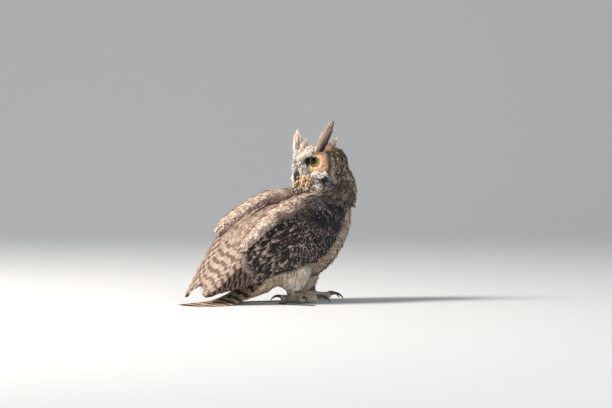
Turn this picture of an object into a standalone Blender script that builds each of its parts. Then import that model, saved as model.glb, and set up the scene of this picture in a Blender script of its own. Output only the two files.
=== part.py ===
"""A great horned owl at life size, standing and looking back over its own shoulders.

The breast faces +X, the bird's left side is +Y and +Z is up. The tables below hold millimetres,
and every mesh is made in metres. The outer faces are the tips of the feathers, not the skin.
"""

import math

import bmesh
import bpy
from mathutils import Matrix, Vector

MM = 0.001
GAP = 0.45  # clearance between neighbouring solids
SIDES = {"left": 1, "right": -1}
UP, AHEAD = Vector((0, 0, 1)), Vector((1, 0, 0))

# Head: its centre, which way it faces, and its half sizes. The face looks back over the tail.
HEAD_AT = Vector((53.5, 0, 287))
HEAD_YAW, HEAD_PITCH = 179, 6  # degrees; pitch is how far the bill looks down
FACE_LONG, NAPE_LONG, HEAD_WIDE, HEAD_TALL = 49, 61, 57, 46
EYE_AHEAD, EYE_OUT, EYE_UP = 30, 24.5, 15
EYE_RADIUS, EYE_TURN = 13.2, 27  # an owl's eyes look a little outwards
DISC_RADIUS, DISC_RISE = 29, 4
# Ear tufts: root and tip of the long plume, then of the short one behind it, in the head's axes.
TUFTS = {
    "left": ((22, 38, 37), (3, 52, 97), (16, 38, 35), (-25, 46, 61)),
    "right": ((23, -38, 37), (19, -50, 81), (18, -35, 36), (3, -32, 60)),
}

# Trunk, rump to breast: x, z on the back, x, z on the belly, half width.
TRUNK = [
    (-134, 72, -127, 52, 10),
    (-118, 108, -100, 46, 38),
    (-90, 152, -62, 44, 58),
    (-52, 188, -22, 44, 70),
    (-10, 214, 24, 48, 77),
    (26, 226, 60, 70, 78),
    (52, 230, 82, 101, 74),
    (74, 234, 100, 138, 65),
    (90, 232, 112, 172, 47),
    (100, 222, 114, 194, 26),
]
# Neck and its ruff, bottom to top: x, z on the face's side, x, z on the nape's side, half width.
NECK = [
    (26, 200, 126, 194, 46),
    (8, 224, 138, 212, 58),
    (-4, 247, 140, 238, 61),
    (4, 262, 134, 260, 58),
    (18, 272, 125, 277, 50),
]
# Folded wing, wrist to tip: x, z of its top and bottom edges, y of its top edge, widest part and
# bottom edge.
WING = [
    (78, 202, 188, 58, 64, 61),
    (64, 216, 170, 46, 78, 70),
    (40, 223, 138, 34, 88, 76),
    (4, 224, 94, 24, 95, 80),
    (-48, 216, 78, 16, 94, 78),
    (-100, 199, 64, 8, 87, 70),
    (-150, 166, 46, 3, 74, 58),
    (-195, 116, 29, 1, 57, 43),
    (-232, 66, 17, 1, 40, 30),
    (-262, 24, 10, 1, 22, 16),
]
# Where the two wings meet over the back, off the midline, how far each wing's tip is spread, and
# how far its side is puffed up.
WING_SEAM = 13
WING_SPREAD = {"left": 34, "right": 0}
WING_LIFT = {"left": 20, "right": 0}
COVERT_THICK, FLIGHT_THICK, TIP_THICK = 13, 9, 4
COVERT_END, PRIMARY_EDGE = 0.52, 0.56  # shares of the wing's length and of its depth
# Scapulars, shoulder to tip: x, y, z, half width, depth above and below.
SCAPULARS = {
    "left": [
        (44, 30, 226, 14, 6, 10),
        (8, 38, 229, 25, 12, 15),
        (-46, 42, 223, 30, 14, 18),
        (-100, 46, 203, 29, 13, 18),
        (-144, 49, 176, 25, 13, 17),
        (-174, 51, 154, 14, 11, 12),
    ],
    "right": [
        (44, -34, 224, 14, 6, 10),
        (8, -42, 225, 26, 10, 16),
        (-50, -48, 212, 30, 10, 17),
        (-104, -50, 187, 29, 11, 17),
        (-148, -46, 152, 24, 10, 16),
        (-180, -38, 115, 14, 7, 10),
    ],
}
# Tail, root to tip along its middle: x, z of the underside, half width, thickness.
TAIL = [
    (-92, 62, 24, 20),
    (-130, 36, 32, 17),
    (-168, 14, 40, 13),
    (-205, 2.5, 48, 9),
    (-235, 0, 55, 6.5),
    (-272, 0, 62, 4.5),
]
TAIL_LAST_ROUND = 26  # how far the middle feathers pass the outer ones
# Feathers under the root of the tail: x, z of the axis, half width, depth above and below.
VENT = [
    (-66, 60, 26, 22, 18),
    (-96, 42, 32, 22, 20),
    (-130, 25, 27, 12, 14),
    (-160, 12, 18, 5, 7),
]
# Each leg: where the foot stands, the way it points and the top of the thigh.
LEGS = {
    "left": {"foot": (46, 31), "toward": -8, "thigh": (22, 37, 98)},
    "right": {"foot": (-42, -37), "toward": -52, "thigh": (-54, -41, 98)},
}
THIGH_HALF = (45, 34)  # fore and aft, and across, at the top
ANKLE_UP, SHANK_HALF = 34, 11.5
# Toes: the angle from the way the foot points (towards the body's middle), length and half width.
TOES = {
    "inner": (24, 37, 8.2),
    "middle": (-6, 42, 8.4),
    "outer": (-52, 35, 7.8),
    "hind": (168, 22, 7.6),
}
TOE_UP, SOLE = 8.5, 0.0
CLAW_RADIUS, CLAW_ARC, CLAW_BEND = 4.2, 21.5, 96  # base half width, curve radius and its angle
# Leather: a cuff round each shank, and a strap that lies along the floor.
CUFF_FROM, CUFF_HIGH, CUFF_HALF, CUFF_THICK = 20.5, 11, 15, 1.6
STRAP_THICK = 1.6
STRAPS = {
    "left": {
        "width": 9.5,
        "route": [(31, 13), (6, 12), (-26, 24), (-58, 37), (-92, 45), (-124, 47), (-148, 42)],
    },
    "right": {
        "width": 12,
        "route": [(-62, -34), (-82, -44), (-96, -68), (-98, -98), (-88, -128), (-80, -156)],
    },
}

COLOURS = {
    "mottled_feather": ((0.20, 0.15, 0.12), 0.85),
    "barred_feather": ((0.24, 0.17, 0.11), 0.75),
    "breast_feather": ((0.48, 0.38, 0.26), 0.9),
    "face_feather": ((0.52, 0.32, 0.16), 0.9),
    "leg_feather": ((0.58, 0.46, 0.33), 0.9),
    "horn": ((0.035, 0.035, 0.04), 0.35),
    "eye": ((0.75, 0.52, 0.05), 0.08),
    "leather": ((0.20, 0.09, 0.04), 0.6),
}


def material(name):
    """The Principled material of this name, made the first time it is asked for."""
    found = bpy.data.materials.get(name)
    if found:
        return found
    colour, roughness = COLOURS[name]
    made = bpy.data.materials.new(name)
    made.use_nodes = True
    shader = made.node_tree.nodes["Principled BSDF"]
    shader.inputs["Base Color"].default_value = (*colour, 1)
    shader.inputs["Roughness"].default_value = roughness
    made.diffuse_color = (*colour, 1)
    return made


def between(rows, share):
    """The row that lies this share of the way along a table, on a smooth curve through its rows."""
    place = min(max(share, 0), 1) * (len(rows) - 1)
    i = min(int(place), len(rows) - 2)
    t = place - i
    before, here, after, beyond = (rows[min(max(i + k, 0), len(rows) - 1)] for k in (-1, 0, 1, 2))
    return [
        b + 0.5 * t * (c - a + t * (2 * a - 5 * b + 4 * c - d + t * (3 * (b - c) + d - a)))
        for a, b, c, d in zip(before, here, after, beyond)
    ]


def solid(name, points, faces, finish):
    """An object with this closed mesh, its points given in millimetres."""
    mesh = bpy.data.meshes.new(name)
    mesh.from_pydata([tuple(p * MM) for p in points], [], faces)
    mesh.materials.append(material(finish))
    shaped = bmesh.new()
    shaped.from_mesh(mesh)
    bmesh.ops.triangulate(shaped, faces=shaped.faces)
    bmesh.ops.recalc_face_normals(shaped, faces=shaped.faces)
    if shaped.calc_volume(signed=True) < 0:
        bmesh.ops.reverse_faces(shaped, faces=shaped.faces)
    shaped.to_mesh(mesh)
    shaped.free()
    mesh.shade_smooth()
    mesh.set_sharp_from_angle(angle=math.radians(50))
    made = bpy.data.objects.new(name, mesh)
    bpy.context.collection.objects.link(made)
    return made


def skinned(rings, flat=False):
    """Points and faces of a closed skin over rings of equal length. Each end closes to a point or,
    where the rings are flat, straight across from each point to the one under it."""
    count = len(rings[0])
    points = [p for ring in rings for p in ring]
    faces = []
    for i in range(len(rings) - 1):
        for j in range(count):
            a, b = i * count + j, i * count + (j + 1) % count
            faces.append((a, b, b + count, a + count))
    for first in (0, (len(rings) - 1) * count):
        if flat:
            under = [(first + j, first + count - 1 - j) for j in range(count // 2)]
            faces += [(*here, *after[::-1]) for here, after in zip(under, under[1:])]
            continue
        pole = len(points)
        points.append(sum((points[first + j] for j in range(count)), Vector()) / count)
        faces += [(first + j, first + (j + 1) % count, pole) for j in range(count)]
    return points, faces


def tube(name, rows, sides, steps, finish, across=UP, rounding=0.5, ends=(1, 1)):
    """A tapering tube. Each row holds x, y, z, half width, and depth on the side of across and on
    the other side. Its ends are domes, as deep as rounding times their depth."""
    stations = [between(rows, i / steps) for i in range(steps + 1)]
    centres = [Vector(s[:3]) for s in stations]
    rings = []
    for i, station in enumerate(stations):
        along = (centres[min(i + 1, steps)] - centres[max(i - 1, 0)]).normalized()
        high = (across - along * across.dot(along)).normalized()
        side = high.cross(along)
        outward = ends[1] * (i == steps) - ends[0] * (i == 0)
        dome = outward * rounding * min(station[4], station[5])
        shares = [(0, 1), (0.85 * dome, 0.58)] if outward else [(0, 1)]
        for shift, share in shares[:: outward or 1]:
            ring = []
            for k in range(sides):
                angle = 2 * math.pi * k / sides
                depth = station[4] if math.sin(angle) > 0 else station[5]
                offset = side * station[3] * math.cos(angle) + high * depth * math.sin(angle)
                ring.append(centres[i] + along * shift + offset * share)
            rings.append(ring)
    return solid(name, *skinned(rings), finish)


def barrel(name, rows, sides, steps, finish):
    """A body of oval rings. Each row holds x, z of two opposite points, and the half width."""
    rings = []
    for i in range(steps + 1):
        x, z, far_x, far_z, half = between(rows, i / steps)
        middle = Vector((x + far_x, 0, z + far_z)) / 2
        reach = Vector((x, 0, z)) - middle
        angles = [2 * math.pi * k / sides for k in range(sides)]
        rings.append([middle + reach * math.sin(a) + Vector((0, half * math.cos(a), 0)) for a in angles])
    return solid(name, *skinned(rings), finish)


def modified(piece, kind, **settings):
    """The piece with this modifier worked into its mesh."""
    modifier = piece.modifiers.new(kind.title(), kind)
    for key, value in settings.items():
        setattr(modifier, key, value)
    graph = bpy.context.evaluated_depsgraph_get()
    mesh = bpy.data.meshes.new_from_object(piece.evaluated_get(graph))
    piece.modifiers.clear()
    piece.data = mesh
    return piece


def removed(piece):
    bpy.data.objects.remove(piece)


def swollen(piece, by=GAP):
    """A copy of a piece, larger by this many millimetres all round."""
    mesh = piece.data.copy()
    shaped = bmesh.new()
    shaped.from_mesh(mesh)
    shaped.normal_update()
    for vertex, normal in [(v, v.normal.copy()) for v in shaped.verts]:
        vertex.co += normal * by * MM * max(vertex.calc_shell_factor(), 1)
    shaped.to_mesh(mesh)
    shaped.free()
    made = bpy.data.objects.new(f"{piece.name}_room", mesh)
    bpy.context.collection.objects.link(made)
    return made


def carve(piece, *neighbours):
    """Cuts the space of each neighbour, and the gap round it, from the piece."""
    for neighbour in neighbours:
        room = swollen(neighbour)
        for cutter in (room, neighbour):
            modified(piece, "BOOLEAN", operation="DIFFERENCE", object=cutter, solver="MANIFOLD")
        removed(room)
    return largest_body(piece)


def joined(piece, *others):
    """The piece with the others added to it as one body."""
    for other in others:
        modified(piece, "BOOLEAN", operation="UNION", object=other, solver="MANIFOLD")
        removed(other)
    return piece


def largest_body(piece):
    """Keeps only the largest closed body of a piece, where a cut left crumbs beside it."""
    shaped = bmesh.new()
    shaped.from_mesh(piece.data)
    bmesh.ops.triangulate(shaped, faces=shaped.faces)
    left, bodies = set(shaped.faces), []
    while left:
        body, edge = set(), [left.pop()]
        while edge:
            face = edge.pop()
            body.add(face)
            near = {f for e in face.edges for f in e.link_faces} & left
            left -= near
            edge += near
        bodies.append(body)
    bodies.sort(key=lambda body: -sum(face.calc_area() for face in body))
    for body in bodies[1:]:
        bmesh.ops.delete(shaped, geom=list(body), context="FACES")
    loose = [v for v in shaped.verts if not v.link_faces]
    bmesh.ops.delete(shaped, geom=loose, context="VERTS")
    shaped.to_mesh(piece.data)
    shaped.free()
    return piece


def grounded(piece, floor=SOLE):
    """Cuts a piece off flat at the floor."""
    shaped = bmesh.new()
    shaped.from_mesh(piece.data)
    cut = bmesh.ops.bisect_plane(
        shaped,
        geom=shaped.verts[:] + shaped.edges[:] + shaped.faces[:],
        plane_co=(0, 0, floor * MM),
        plane_no=(0, 0, -1),
        clear_outer=True,
    )
    edges = [e for e in cut["geom_cut"] if isinstance(e, bmesh.types.BMEdge)]
    bmesh.ops.holes_fill(shaped, edges=edges)
    bmesh.ops.triangulate(shaped, faces=shaped.faces)
    shaped.to_mesh(piece.data)
    shaped.free()
    return piece


def head_frame():
    """The matrix that carries the head's own axes (bill ahead, left, up) into the bird's."""
    turn = Matrix.Rotation(math.radians(HEAD_YAW), 4, "Z")
    nod = Matrix.Rotation(math.radians(HEAD_PITCH), 4, "Y")
    return Matrix.Translation(HEAD_AT) @ turn @ nod


def bump(distance, reach):
    return math.exp(-((distance / reach) ** 2))


def fuller(value, power):
    """Raises the size of a value between -1 and 1 to a power, and keeps its sign."""
    return math.copysign(abs(value) ** power, value)


def head_point(polar, around):
    """A point of the head, by its angle from the bill's direction and its angle about it."""
    ahead, out = math.cos(polar), math.sin(polar)
    squared = 0.84 if ahead > 0 else 0.95
    flat_top = 0.84 if math.sin(around) > 0 else 0.92
    x = (FACE_LONG if ahead > 0 else NAPE_LONG) * fuller(ahead, squared)
    y = HEAD_WIDE * out**squared * fuller(math.cos(around), flat_top)
    z = HEAD_TALL * out**squared * fuller(math.sin(around), flat_top)
    face = min(max((ahead - 0.2) / 0.35, 0), 1)
    for side in SIDES.values():
        off = math.hypot(y - side * (EYE_OUT + 2), z - EYE_UP + 7)
        x += face * DISC_RISE * bump(off - DISC_RADIUS, 8)  # rim of the facial disc
        off = math.hypot(y - side * (EYE_OUT + 4), z - EYE_UP + 1)
        x -= face * 9 * bump(off, 16)  # the dish round the eye
        brow = z - (EYE_UP + 14 + 0.35 * (side * y - EYE_OUT))
        x += face * 6 * bump(brow, 7) * bump(side * y - 20, 22)
    x += face * 8 * bump(y, 10) * bump(z - 2, 26)  # ridge between the eyes, down to the bill
    x += face * 8 * bump(y, 24) * bump(z + 30, 12)  # chin
    return Vector((x, y, z))


def head(sides=20, rings=12):
    """The head, as rings about the way that it faces, drawn closer together over the face."""
    rows = []
    for i in range(1, rings + 1):
        share = i / (rings + 1)
        polar = math.pi * (0.66 * share + 0.34 * share**2)
        rows.append([head_point(polar, 2 * math.pi * k / sides) for k in range(sides)])
    made = solid("head", *skinned(rows), "face_feather")
    made.data.transform(scaled(head_frame()))
    return made


def scaled(matrix):
    """A frame given in millimetres, as one that acts on a mesh in metres."""
    moved = matrix.copy()
    moved.translation *= MM
    return moved


def eye(side_name):
    """An eyeball, set in its dish and turned a little outwards."""
    side = SIDES[side_name]
    ball = bmesh.new()
    bmesh.ops.create_uvsphere(ball, u_segments=12, v_segments=8, radius=EYE_RADIUS * MM)
    turn = Matrix.Rotation(side * math.radians(EYE_TURN), 4, "Z")
    place = Matrix.Translation((EYE_AHEAD, side * EYE_OUT, EYE_UP))
    ball.transform(scaled(head_frame() @ place) @ turn @ Matrix.Rotation(math.pi / 2, 4, "Y"))
    mesh = bpy.data.meshes.new(f"eye_{side_name}")
    ball.to_mesh(mesh)
    ball.free()
    mesh.materials.append(material("eye"))
    mesh.shade_smooth()
    made = bpy.data.objects.new(mesh.name, mesh)
    bpy.context.collection.objects.link(made)
    return made


def bill(name, start, length, bend, half_wide, half_high, sides=8, steps=6):
    """A half of the bill: a cone along an arc in the head's own middle plane."""
    radius = length / math.radians(bend)
    rows = []
    for i in range(steps + 1):
        share = i / steps
        angle = math.radians(bend) * share
        size = (1 - share) ** 0.75 + 0.07
        x, z = start[0] + radius * math.sin(angle), start[1] - radius * (1 - math.cos(angle))
        rows.append((x, 0, z, half_wide * size, half_high * size, half_high * size))
    made = tube(name, rows, sides, steps, "horn", ends=(0, 1))
    made.data.transform(scaled(head_frame()))
    return made


def plume(name, root, tip, half_wide, half_thick, steps=6):
    """A long feather that stands up from the head: root and tip are in the head's own axes."""
    root, tip = Vector(root), Vector(tip)
    rows = []
    for share, wide in ((-0.1, 0.7), (0.15, 1), (0.42, 1), (0.7, 0.72), (0.9, 0.4), (1, 0.16)):
        centre = root.lerp(tip, share) + AHEAD * 14 * share * (1 - share)
        thick = half_thick * (0.4 + 0.6 * wide)
        rows.append((*centre, half_wide * wide, thick, thick))
    made = tube(name, rows, 7, steps, "face_feather", across=AHEAD)
    made.data.transform(scaled(head_frame()))
    return made


def ear_plumes(side_name):
    """The raised feathers over an eye: one long plume and a shorter one behind it."""
    root, tip, rear_root, rear_tip = TUFTS[side_name]
    main = plume(f"ear_tuft_{side_name}", root, tip, 10.5, 5)
    return main, plume("rear_plume", rear_root, rear_tip, 8, 4, 5)


def wing_point(side_name, along, across, depth=0.0):
    """A point of the folded wing: along from wrist to tip, across from its top edge, over its side,
    to its bottom edge, and depth towards the body."""
    x, top, bottom, y_top, y_wide, y_low = between(WING, along)
    widest = bottom + 0.5 * (top - bottom)
    turn = 0.54  # the share of the way across at which the wing is widest
    if across < turn:
        angle = 0.5 * math.pi * (1 - across / turn)
        y = y_top + (y_wide - y_top) * math.cos(angle)
        z = widest + (top - widest) * math.sin(angle)
    else:
        angle = 0.5 * math.pi * (across - turn) / (1 - turn)
        y = y_low + (y_wide - y_low) * math.cos(angle)
        z = widest + (bottom - widest) * math.sin(angle)
    core = Vector((x, 0.25 * y_top, widest - 0.1 * (top - bottom)))
    point = Vector((x, y, z))
    inward = core - point
    point += inward.normalized() * min(depth, 0.6 * inward.length)
    side = SIDES[side_name]
    seam = WING_SEAM * along**1.5 * max(1 - across / turn, 0)
    out = min(point.y / y_wide, 1) * WING_SPREAD[side_name] * along**2.2
    point.z += 4 * along * (1 - along) * WING_LIFT[side_name] * math.sin(math.pi * across)
    point.y = side * (point.y + out) + seam
    return point


def wing_shell(name, side_name, along, across, thick, columns, rows, finish):
    """A piece of the folded wing, as a curved plate that thins towards its edges."""
    grid = []
    for i in range(columns + 1):
        s = along[0] + (along[1] - along[0]) * i / columns
        line = []
        for j in range(rows + 1):
            t = across[0] + (across[1] - across[0]) * j / rows
            edge = math.sin(math.pi * (0.12 + 0.76 * j / rows)) ** 0.6
            depth = (thick[0] + (thick[1] - thick[0]) * i / columns) * edge
            line.append((wing_point(side_name, s, t), wing_point(side_name, s, t, depth)))
        grid.append(line)
    rings = [[p[0] for p in line] + [p[1] for p in reversed(line)] for line in grid]
    return solid(name, *skinned(rings, flat=True), finish)


def wing(side_name):
    """The folded wing in three pieces: its coverts, its secondaries and its primaries."""
    hair = 0.004  # the share of the wing's length or depth that parts two pieces
    middle = (COVERT_THICK + FLIGHT_THICK) / 2
    arm = wing_shell(
        f"wing_{side_name}_coverts", side_name, (0, COVERT_END), (0, 1),
        (COVERT_THICK - 3, COVERT_THICK), 7, 6, "mottled_feather",
    )  # fmt: skip
    inner = wing_shell(
        f"wing_{side_name}_secondaries", side_name, (COVERT_END + hair, 0.97),
        (0, PRIMARY_EDGE - hair), (middle, TIP_THICK), 6, 5, "barred_feather",
    )  # fmt: skip
    outer = wing_shell(
        f"wing_{side_name}_primaries", side_name, (COVERT_END + hair, 1),
        (PRIMARY_EDGE + hair, 1), (middle, TIP_THICK), 6, 4, "barred_feather",
    )  # fmt: skip
    return [arm, inner, outer]


def tail():
    """The tail fan: it sinks from the rump, bends at the floor and ends in a shallow curve."""
    columns, steps = 8, 8
    rings = []
    for i in range(steps + 1):
        x, under, half, thick = between(TAIL, i / steps)
        upper, lower = [], []
        for j in range(columns + 1):
            v = -1 + 2 * j / columns
            reach = TAIL_LAST_ROUND * (1 - v * v) * (i / steps) ** 3
            arch = 5 * (1 - v * v) * (1 - i / steps)
            edge = 0.3 + 0.7 * math.sqrt(max(1 - v * v, 0))
            upper.append(Vector((x - reach, v * half, max(under, 0) + arch + thick * edge)))
            lower.append(Vector((x - reach, v * half, max(under, 0) + arch * 0.6)))
        rings.append(upper + lower[::-1])
    return solid("tail", *skinned(rings, flat=True), "barred_feather")


def leg(side_name):
    """A thigh with its long feathers, the foot with the feathered shank over it, and the claws."""
    plan = LEGS[side_name]
    foot_x, foot_y = plan["foot"]
    top = Vector(plan["thigh"])
    ankle = Vector((foot_x - 2, foot_y, ANKLE_UP))
    rows = []
    for share, swell in ((0, 0.74), (0.25, 1), (0.55, 1), (0.8, 0.84), (1, 0.6)):
        centre = top.lerp(ankle, share)
        rows.append((*centre, THIGH_HALF[1] * swell, THIGH_HALF[0] * swell, THIGH_HALF[0] * swell))
    thigh = tube(f"thigh_{side_name}", rows, 11, 4, "leg_feather", across=AHEAD, rounding=0.35)
    return thigh, foot_and_claws(side_name, ankle)


def foot_and_claws(side_name, ankle):
    """The shank, the foot's pad and four feathered toes as one body, flat underneath, and the
    claws."""
    side, plan = SIDES[side_name], LEGS[side_name]
    sole = Vector((*plan["foot"], TOE_UP))
    shank = tube(
        "shank",
        [(*(ankle + UP * 3), *[SHANK_HALF + 1] * 3), (*sole, *[SHANK_HALF] * 3)],
        9, 1, "leg_feather", across=AHEAD, rounding=0.2,
    )  # fmt: skip
    pad = tube(
        f"foot_{side_name}",
        [(*(sole + Vector((-9, 0, 0.5))), 10, 8.5, 8.5), (*(sole + Vector((9, 0, 0.5))), 10.5, 8.5, 8.5)],
        8, 1, "leg_feather", rounding=0.8,
    )  # fmt: skip
    branches = []
    for name, (turn, length, half) in TOES.items():
        heading = math.radians(plan["toward"] - side * turn)
        way = Vector((math.cos(heading), math.sin(heading), 0))
        rows = []
        for share, swell, rise in ((0, 1, 1), (0.3, 1.02, 2.5), (0.65, 0.98, 1.5), (1, 0.88, 0)):
            centre = sole + way * length * share + UP * rise
            rows.append((*centre, half * swell, half * swell, half * swell + rise + 2))
        branches.append(tube(f"toe_{name}", rows, 7, 3, "leg_feather", rounding=0.75))
        claw(f"claw_{side_name}_{name}", sole + way * (length + 7.9), way, half / 8)
    return grounded(joined(pad, shank, *branches))


def claw(name, root, way, size):
    """A talon: a cone along an arc that rises from the toe and comes down to the floor."""
    radius, bend = CLAW_ARC * size, math.radians(CLAW_BEND)
    start = math.radians(28)  # it leaves the toe pointing this far above the floor
    steps, rows = 4, []
    drop = radius * (math.cos(start) - math.cos(start - bend))
    root = Vector((*root.xy, drop + 0.9))
    for i in range(steps + 1):
        share = i / steps
        angle = start - bend * share
        place = root + way * radius * (math.sin(start) - math.sin(angle))
        place.z = root.z + radius * (math.cos(angle) - math.cos(start))
        half = CLAW_RADIUS * size * ((1 - share) ** 0.7 * 0.86 + 0.14)
        rows.append((*place, half * 0.86, half, half))
    return tube(name, rows, 6, steps, "horn", rounding=0.6)


def cuff(side_name):
    """The leather cuff: a short wall round the shank, open above and below."""
    foot_x, foot_y = LEGS[side_name]["foot"]
    sides, points = 14, []
    inside, outside = CUFF_HALF - CUFF_THICK, CUFF_HALF
    profile = [(inside, 0), (outside, 0), (outside + 0.5, 0.5), (outside, 1), (inside, 1)]
    for k in range(sides):
        angle = 2 * math.pi * k / sides
        for radius, level in profile:
            x, y = foot_x - 1 + radius * math.cos(angle), foot_y + radius * math.sin(angle)
            points.append(Vector((x, y, CUFF_FROM + level * CUFF_HIGH)))
    count = len(profile)
    faces = [
        (k * count + j, k * count + (j + 1) % count, n * count + (j + 1) % count, n * count + j)
        for k in range(sides)
        for n in [(k + 1) % sides]
        for j in range(count)
    ]
    return solid(f"cuff_{side_name}", points, faces, "leather")


def cuff_room(side_name):
    """The space that the long feathers of the thigh leave round a cuff."""
    foot_x, foot_y = LEGS[side_name]["foot"]
    wide = CUFF_HALF + 1
    rows = [(foot_x - 1, foot_y, z, wide, wide, wide) for z in (2, CUFF_FROM + CUFF_HIGH + 0.5)]
    return tube("room", rows, 10, 1, "leather", across=AHEAD, rounding=0.1)


def strap(side_name):
    """The flat leather strap that trails from a cuff along the floor, wider at its free end."""
    plan = STRAPS[side_name]
    route, steps, rings = plan["route"], 15, []
    for i in range(steps + 1):
        share = i / steps
        here, ahead = (Vector(between(route, s)) for s in (share - 0.5 / steps, share + 0.5 / steps))
        along = (ahead - here).normalized()
        across = Vector((-along.y, along.x))
        half = plan["width"] / 2 * (1 + 0.25 * bump(share - 0.93, 0.09))
        half *= 0.55 if i in (0, steps) else 1
        centre = Vector(between(route, share))
        ring = []
        for shift, level in ((-1, 0), (1, 0), (1, 1), (-1, 1)):
            at = centre + across * half * shift
            ring.append(Vector((at.x, at.y, SOLE + level * STRAP_THICK)))
        rings.append(ring)
    return solid(f"strap_{side_name}", *skinned(rings), "leather")


def centred():
    """Moves the whole bird so that the origin is at the middle of its box's underside."""
    pieces = [piece for piece in bpy.data.objects if piece.type == "MESH"]
    points = [vertex.co for piece in pieces for vertex in piece.data.vertices]
    low = Vector([min(p[i] for p in points) for i in range(3)])
    high = Vector([max(p[i] for p in points) for i in range(3)])
    middle = Vector(((low.x + high.x) / 2, (low.y + high.y) / 2, low.z))
    for piece in pieces:
        piece.data.transform(Matrix.Translation(-middle))


def build():
    for old in list(bpy.data.objects):
        bpy.data.objects.remove(old)

    trunk = barrel("trunk", TRUNK, 16, 9, "breast_feather")
    neck = barrel("neck", NECK, 16, 4, "mottled_feather")
    skull = head()
    eyes = [eye(side) for side in SIDES]
    upper = bill("bill_upper", (50, -1), 37, 113, 7.2, 8)
    lower = bill("bill_lower", (46, -16), 18, 40, 5.6, 4)
    tufts = [ear_plumes(side) for side in SIDES]
    scapulars = [
        tube(f"scapulars_{side}", rows, 10, 7, "mottled_feather", rounding=0.8)
        for side, rows in SCAPULARS.items()
    ]
    wings = {side: wing(side) for side in SIDES}
    fan = tail()
    vent = tube(
        "vent", [(x, 0, z, wide, above, below) for x, z, wide, above, below in VENT],
        12, 5, "leg_feather", rounding=0.7,
    )  # fmt: skip
    legs = {side: leg(side) for side in SIDES}

    # Each piece is cut by neighbours that are still whole, from the middle of the bird outwards.
    every_wing = [piece for pieces in wings.values() for piece in pieces]
    thighs = [thigh for thigh, foot in legs.values()]
    carve(trunk, neck, *scapulars, *every_wing, fan, vent, *thighs)
    for side, (thigh, foot) in legs.items():
        room = cuff_room(side)
        carve(thigh, *wings[side], vent, room, foot)
        removed(room)
    carve(vent, fan)
    for pieces, shoulder in zip(wings.values(), scapulars):
        for piece in pieces:
            carve(piece, shoulder, neck)
        carve(shoulder, neck)
    carve(neck, skull)
    carve(skull, *eyes, upper, lower, *tufts[0], *tufts[1])
    carve(lower, upper)
    for main, rear in tufts:
        joined(main, rear)
    for side in SIDES:
        cuff(side)
        strap(side)
    centred()


build()
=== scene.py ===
# %% [markdown]
# # A great horned owl, looking back over its shoulder
# The bird stands on the floor with its breast towards +X and turns its head right round, as only
# an owl can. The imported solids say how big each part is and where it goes. This script gives them
# their looks: one skin, thousands of solid feathers that follow the lie of the coat, eyes with
# lids, a horn bill and claws, and the leather that a trained bird wears.

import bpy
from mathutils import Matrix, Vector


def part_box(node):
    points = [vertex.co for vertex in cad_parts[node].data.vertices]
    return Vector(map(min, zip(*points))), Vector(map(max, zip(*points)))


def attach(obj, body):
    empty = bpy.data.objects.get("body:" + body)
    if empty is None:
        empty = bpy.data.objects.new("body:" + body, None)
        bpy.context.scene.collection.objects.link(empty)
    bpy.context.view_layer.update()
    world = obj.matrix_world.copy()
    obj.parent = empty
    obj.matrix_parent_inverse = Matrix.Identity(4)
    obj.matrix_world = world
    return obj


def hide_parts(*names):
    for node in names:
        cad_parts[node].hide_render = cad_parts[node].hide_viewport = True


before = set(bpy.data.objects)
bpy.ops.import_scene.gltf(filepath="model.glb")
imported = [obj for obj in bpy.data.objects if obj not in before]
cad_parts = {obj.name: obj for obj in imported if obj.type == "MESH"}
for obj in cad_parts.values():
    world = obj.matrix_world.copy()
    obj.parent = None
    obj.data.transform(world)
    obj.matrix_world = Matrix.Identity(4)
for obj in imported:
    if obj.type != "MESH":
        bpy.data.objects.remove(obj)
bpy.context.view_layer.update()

# %% What the script works with
import math

import bpy
import numpy as np
from mathutils import Matrix, Vector
from mathutils.bvhtree import BVHTree
from mathutils.kdtree import KDTree

MM = 0.001  # sizes below are in millimetres, and meshes are made in metres
SIDES = {"left": 1, "right": -1}
rng = np.random.default_rng(1907)

# %% [markdown]
# ## Axes
# Two sets of axes make the sizes easy to read. The body's start under its middle plane, with the
# breast at +X. The head's point from its centre to the bill, to the owl's left and up. Both are
# found from the eyes, which the frame gives.

# %% Axes of the body and of the head
HEAD_FROM_ORIGIN = np.array((53.5, 0, 287))
HEAD_YAW, HEAD_PITCH = 179, 6
EYE_AHEAD, EYE_OUT, EYE_UP, EYE_RADIUS, EYE_TURN = 30, 24.5, 15, 13.2, 27


def rotation(degrees, axis):
    return np.array(Matrix.Rotation(math.radians(degrees), 3, axis))


def middle(node):
    low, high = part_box(node)
    return np.array((low + high) / 2) / MM


HEAD_TURN = rotation(HEAD_YAW, "Z") @ rotation(HEAD_PITCH, "Y")
HEAD_AT = (middle("eye_left") + middle("eye_right")) / 2 - HEAD_TURN @ (EYE_AHEAD, 0, EYE_UP)
ORIGIN = HEAD_AT - HEAD_FROM_ORIGIN


def from_head(points):
    return np.asarray(points, float) @ HEAD_TURN.T + HEAD_AT


def in_head(points):
    return (np.asarray(points, float) - HEAD_AT) @ HEAD_TURN


def unit(vectors):
    return vectors / np.maximum(np.linalg.norm(vectors, axis=-1, keepdims=True), 1e-9)


EYES = {}  # for each side: the eye's centre, and its axes toward the bill, up and along the gaze
for side_name, side in SIDES.items():
    gaze = rotation(side * EYE_TURN, "Z") @ (1, 0, 0)
    EYES[side_name] = np.array((EYE_AHEAD, side * EYE_OUT, EYE_UP)), np.array(
        (np.cross((0, 0, side), -gaze), (0, 0, 1), gaze)
    )


def in_eye(points, side_name):
    """How far points are from the eye's centre, their angle off the gaze, and their direction round it."""
    centre, axes = EYES[side_name]
    local = (in_head(points) - centre) @ axes.T
    far = np.linalg.norm(local, axis=1)
    return far, np.degrees(np.arccos(np.clip(local[:, 2] / far, -1, 1))), unit(local[:, :2])


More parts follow.
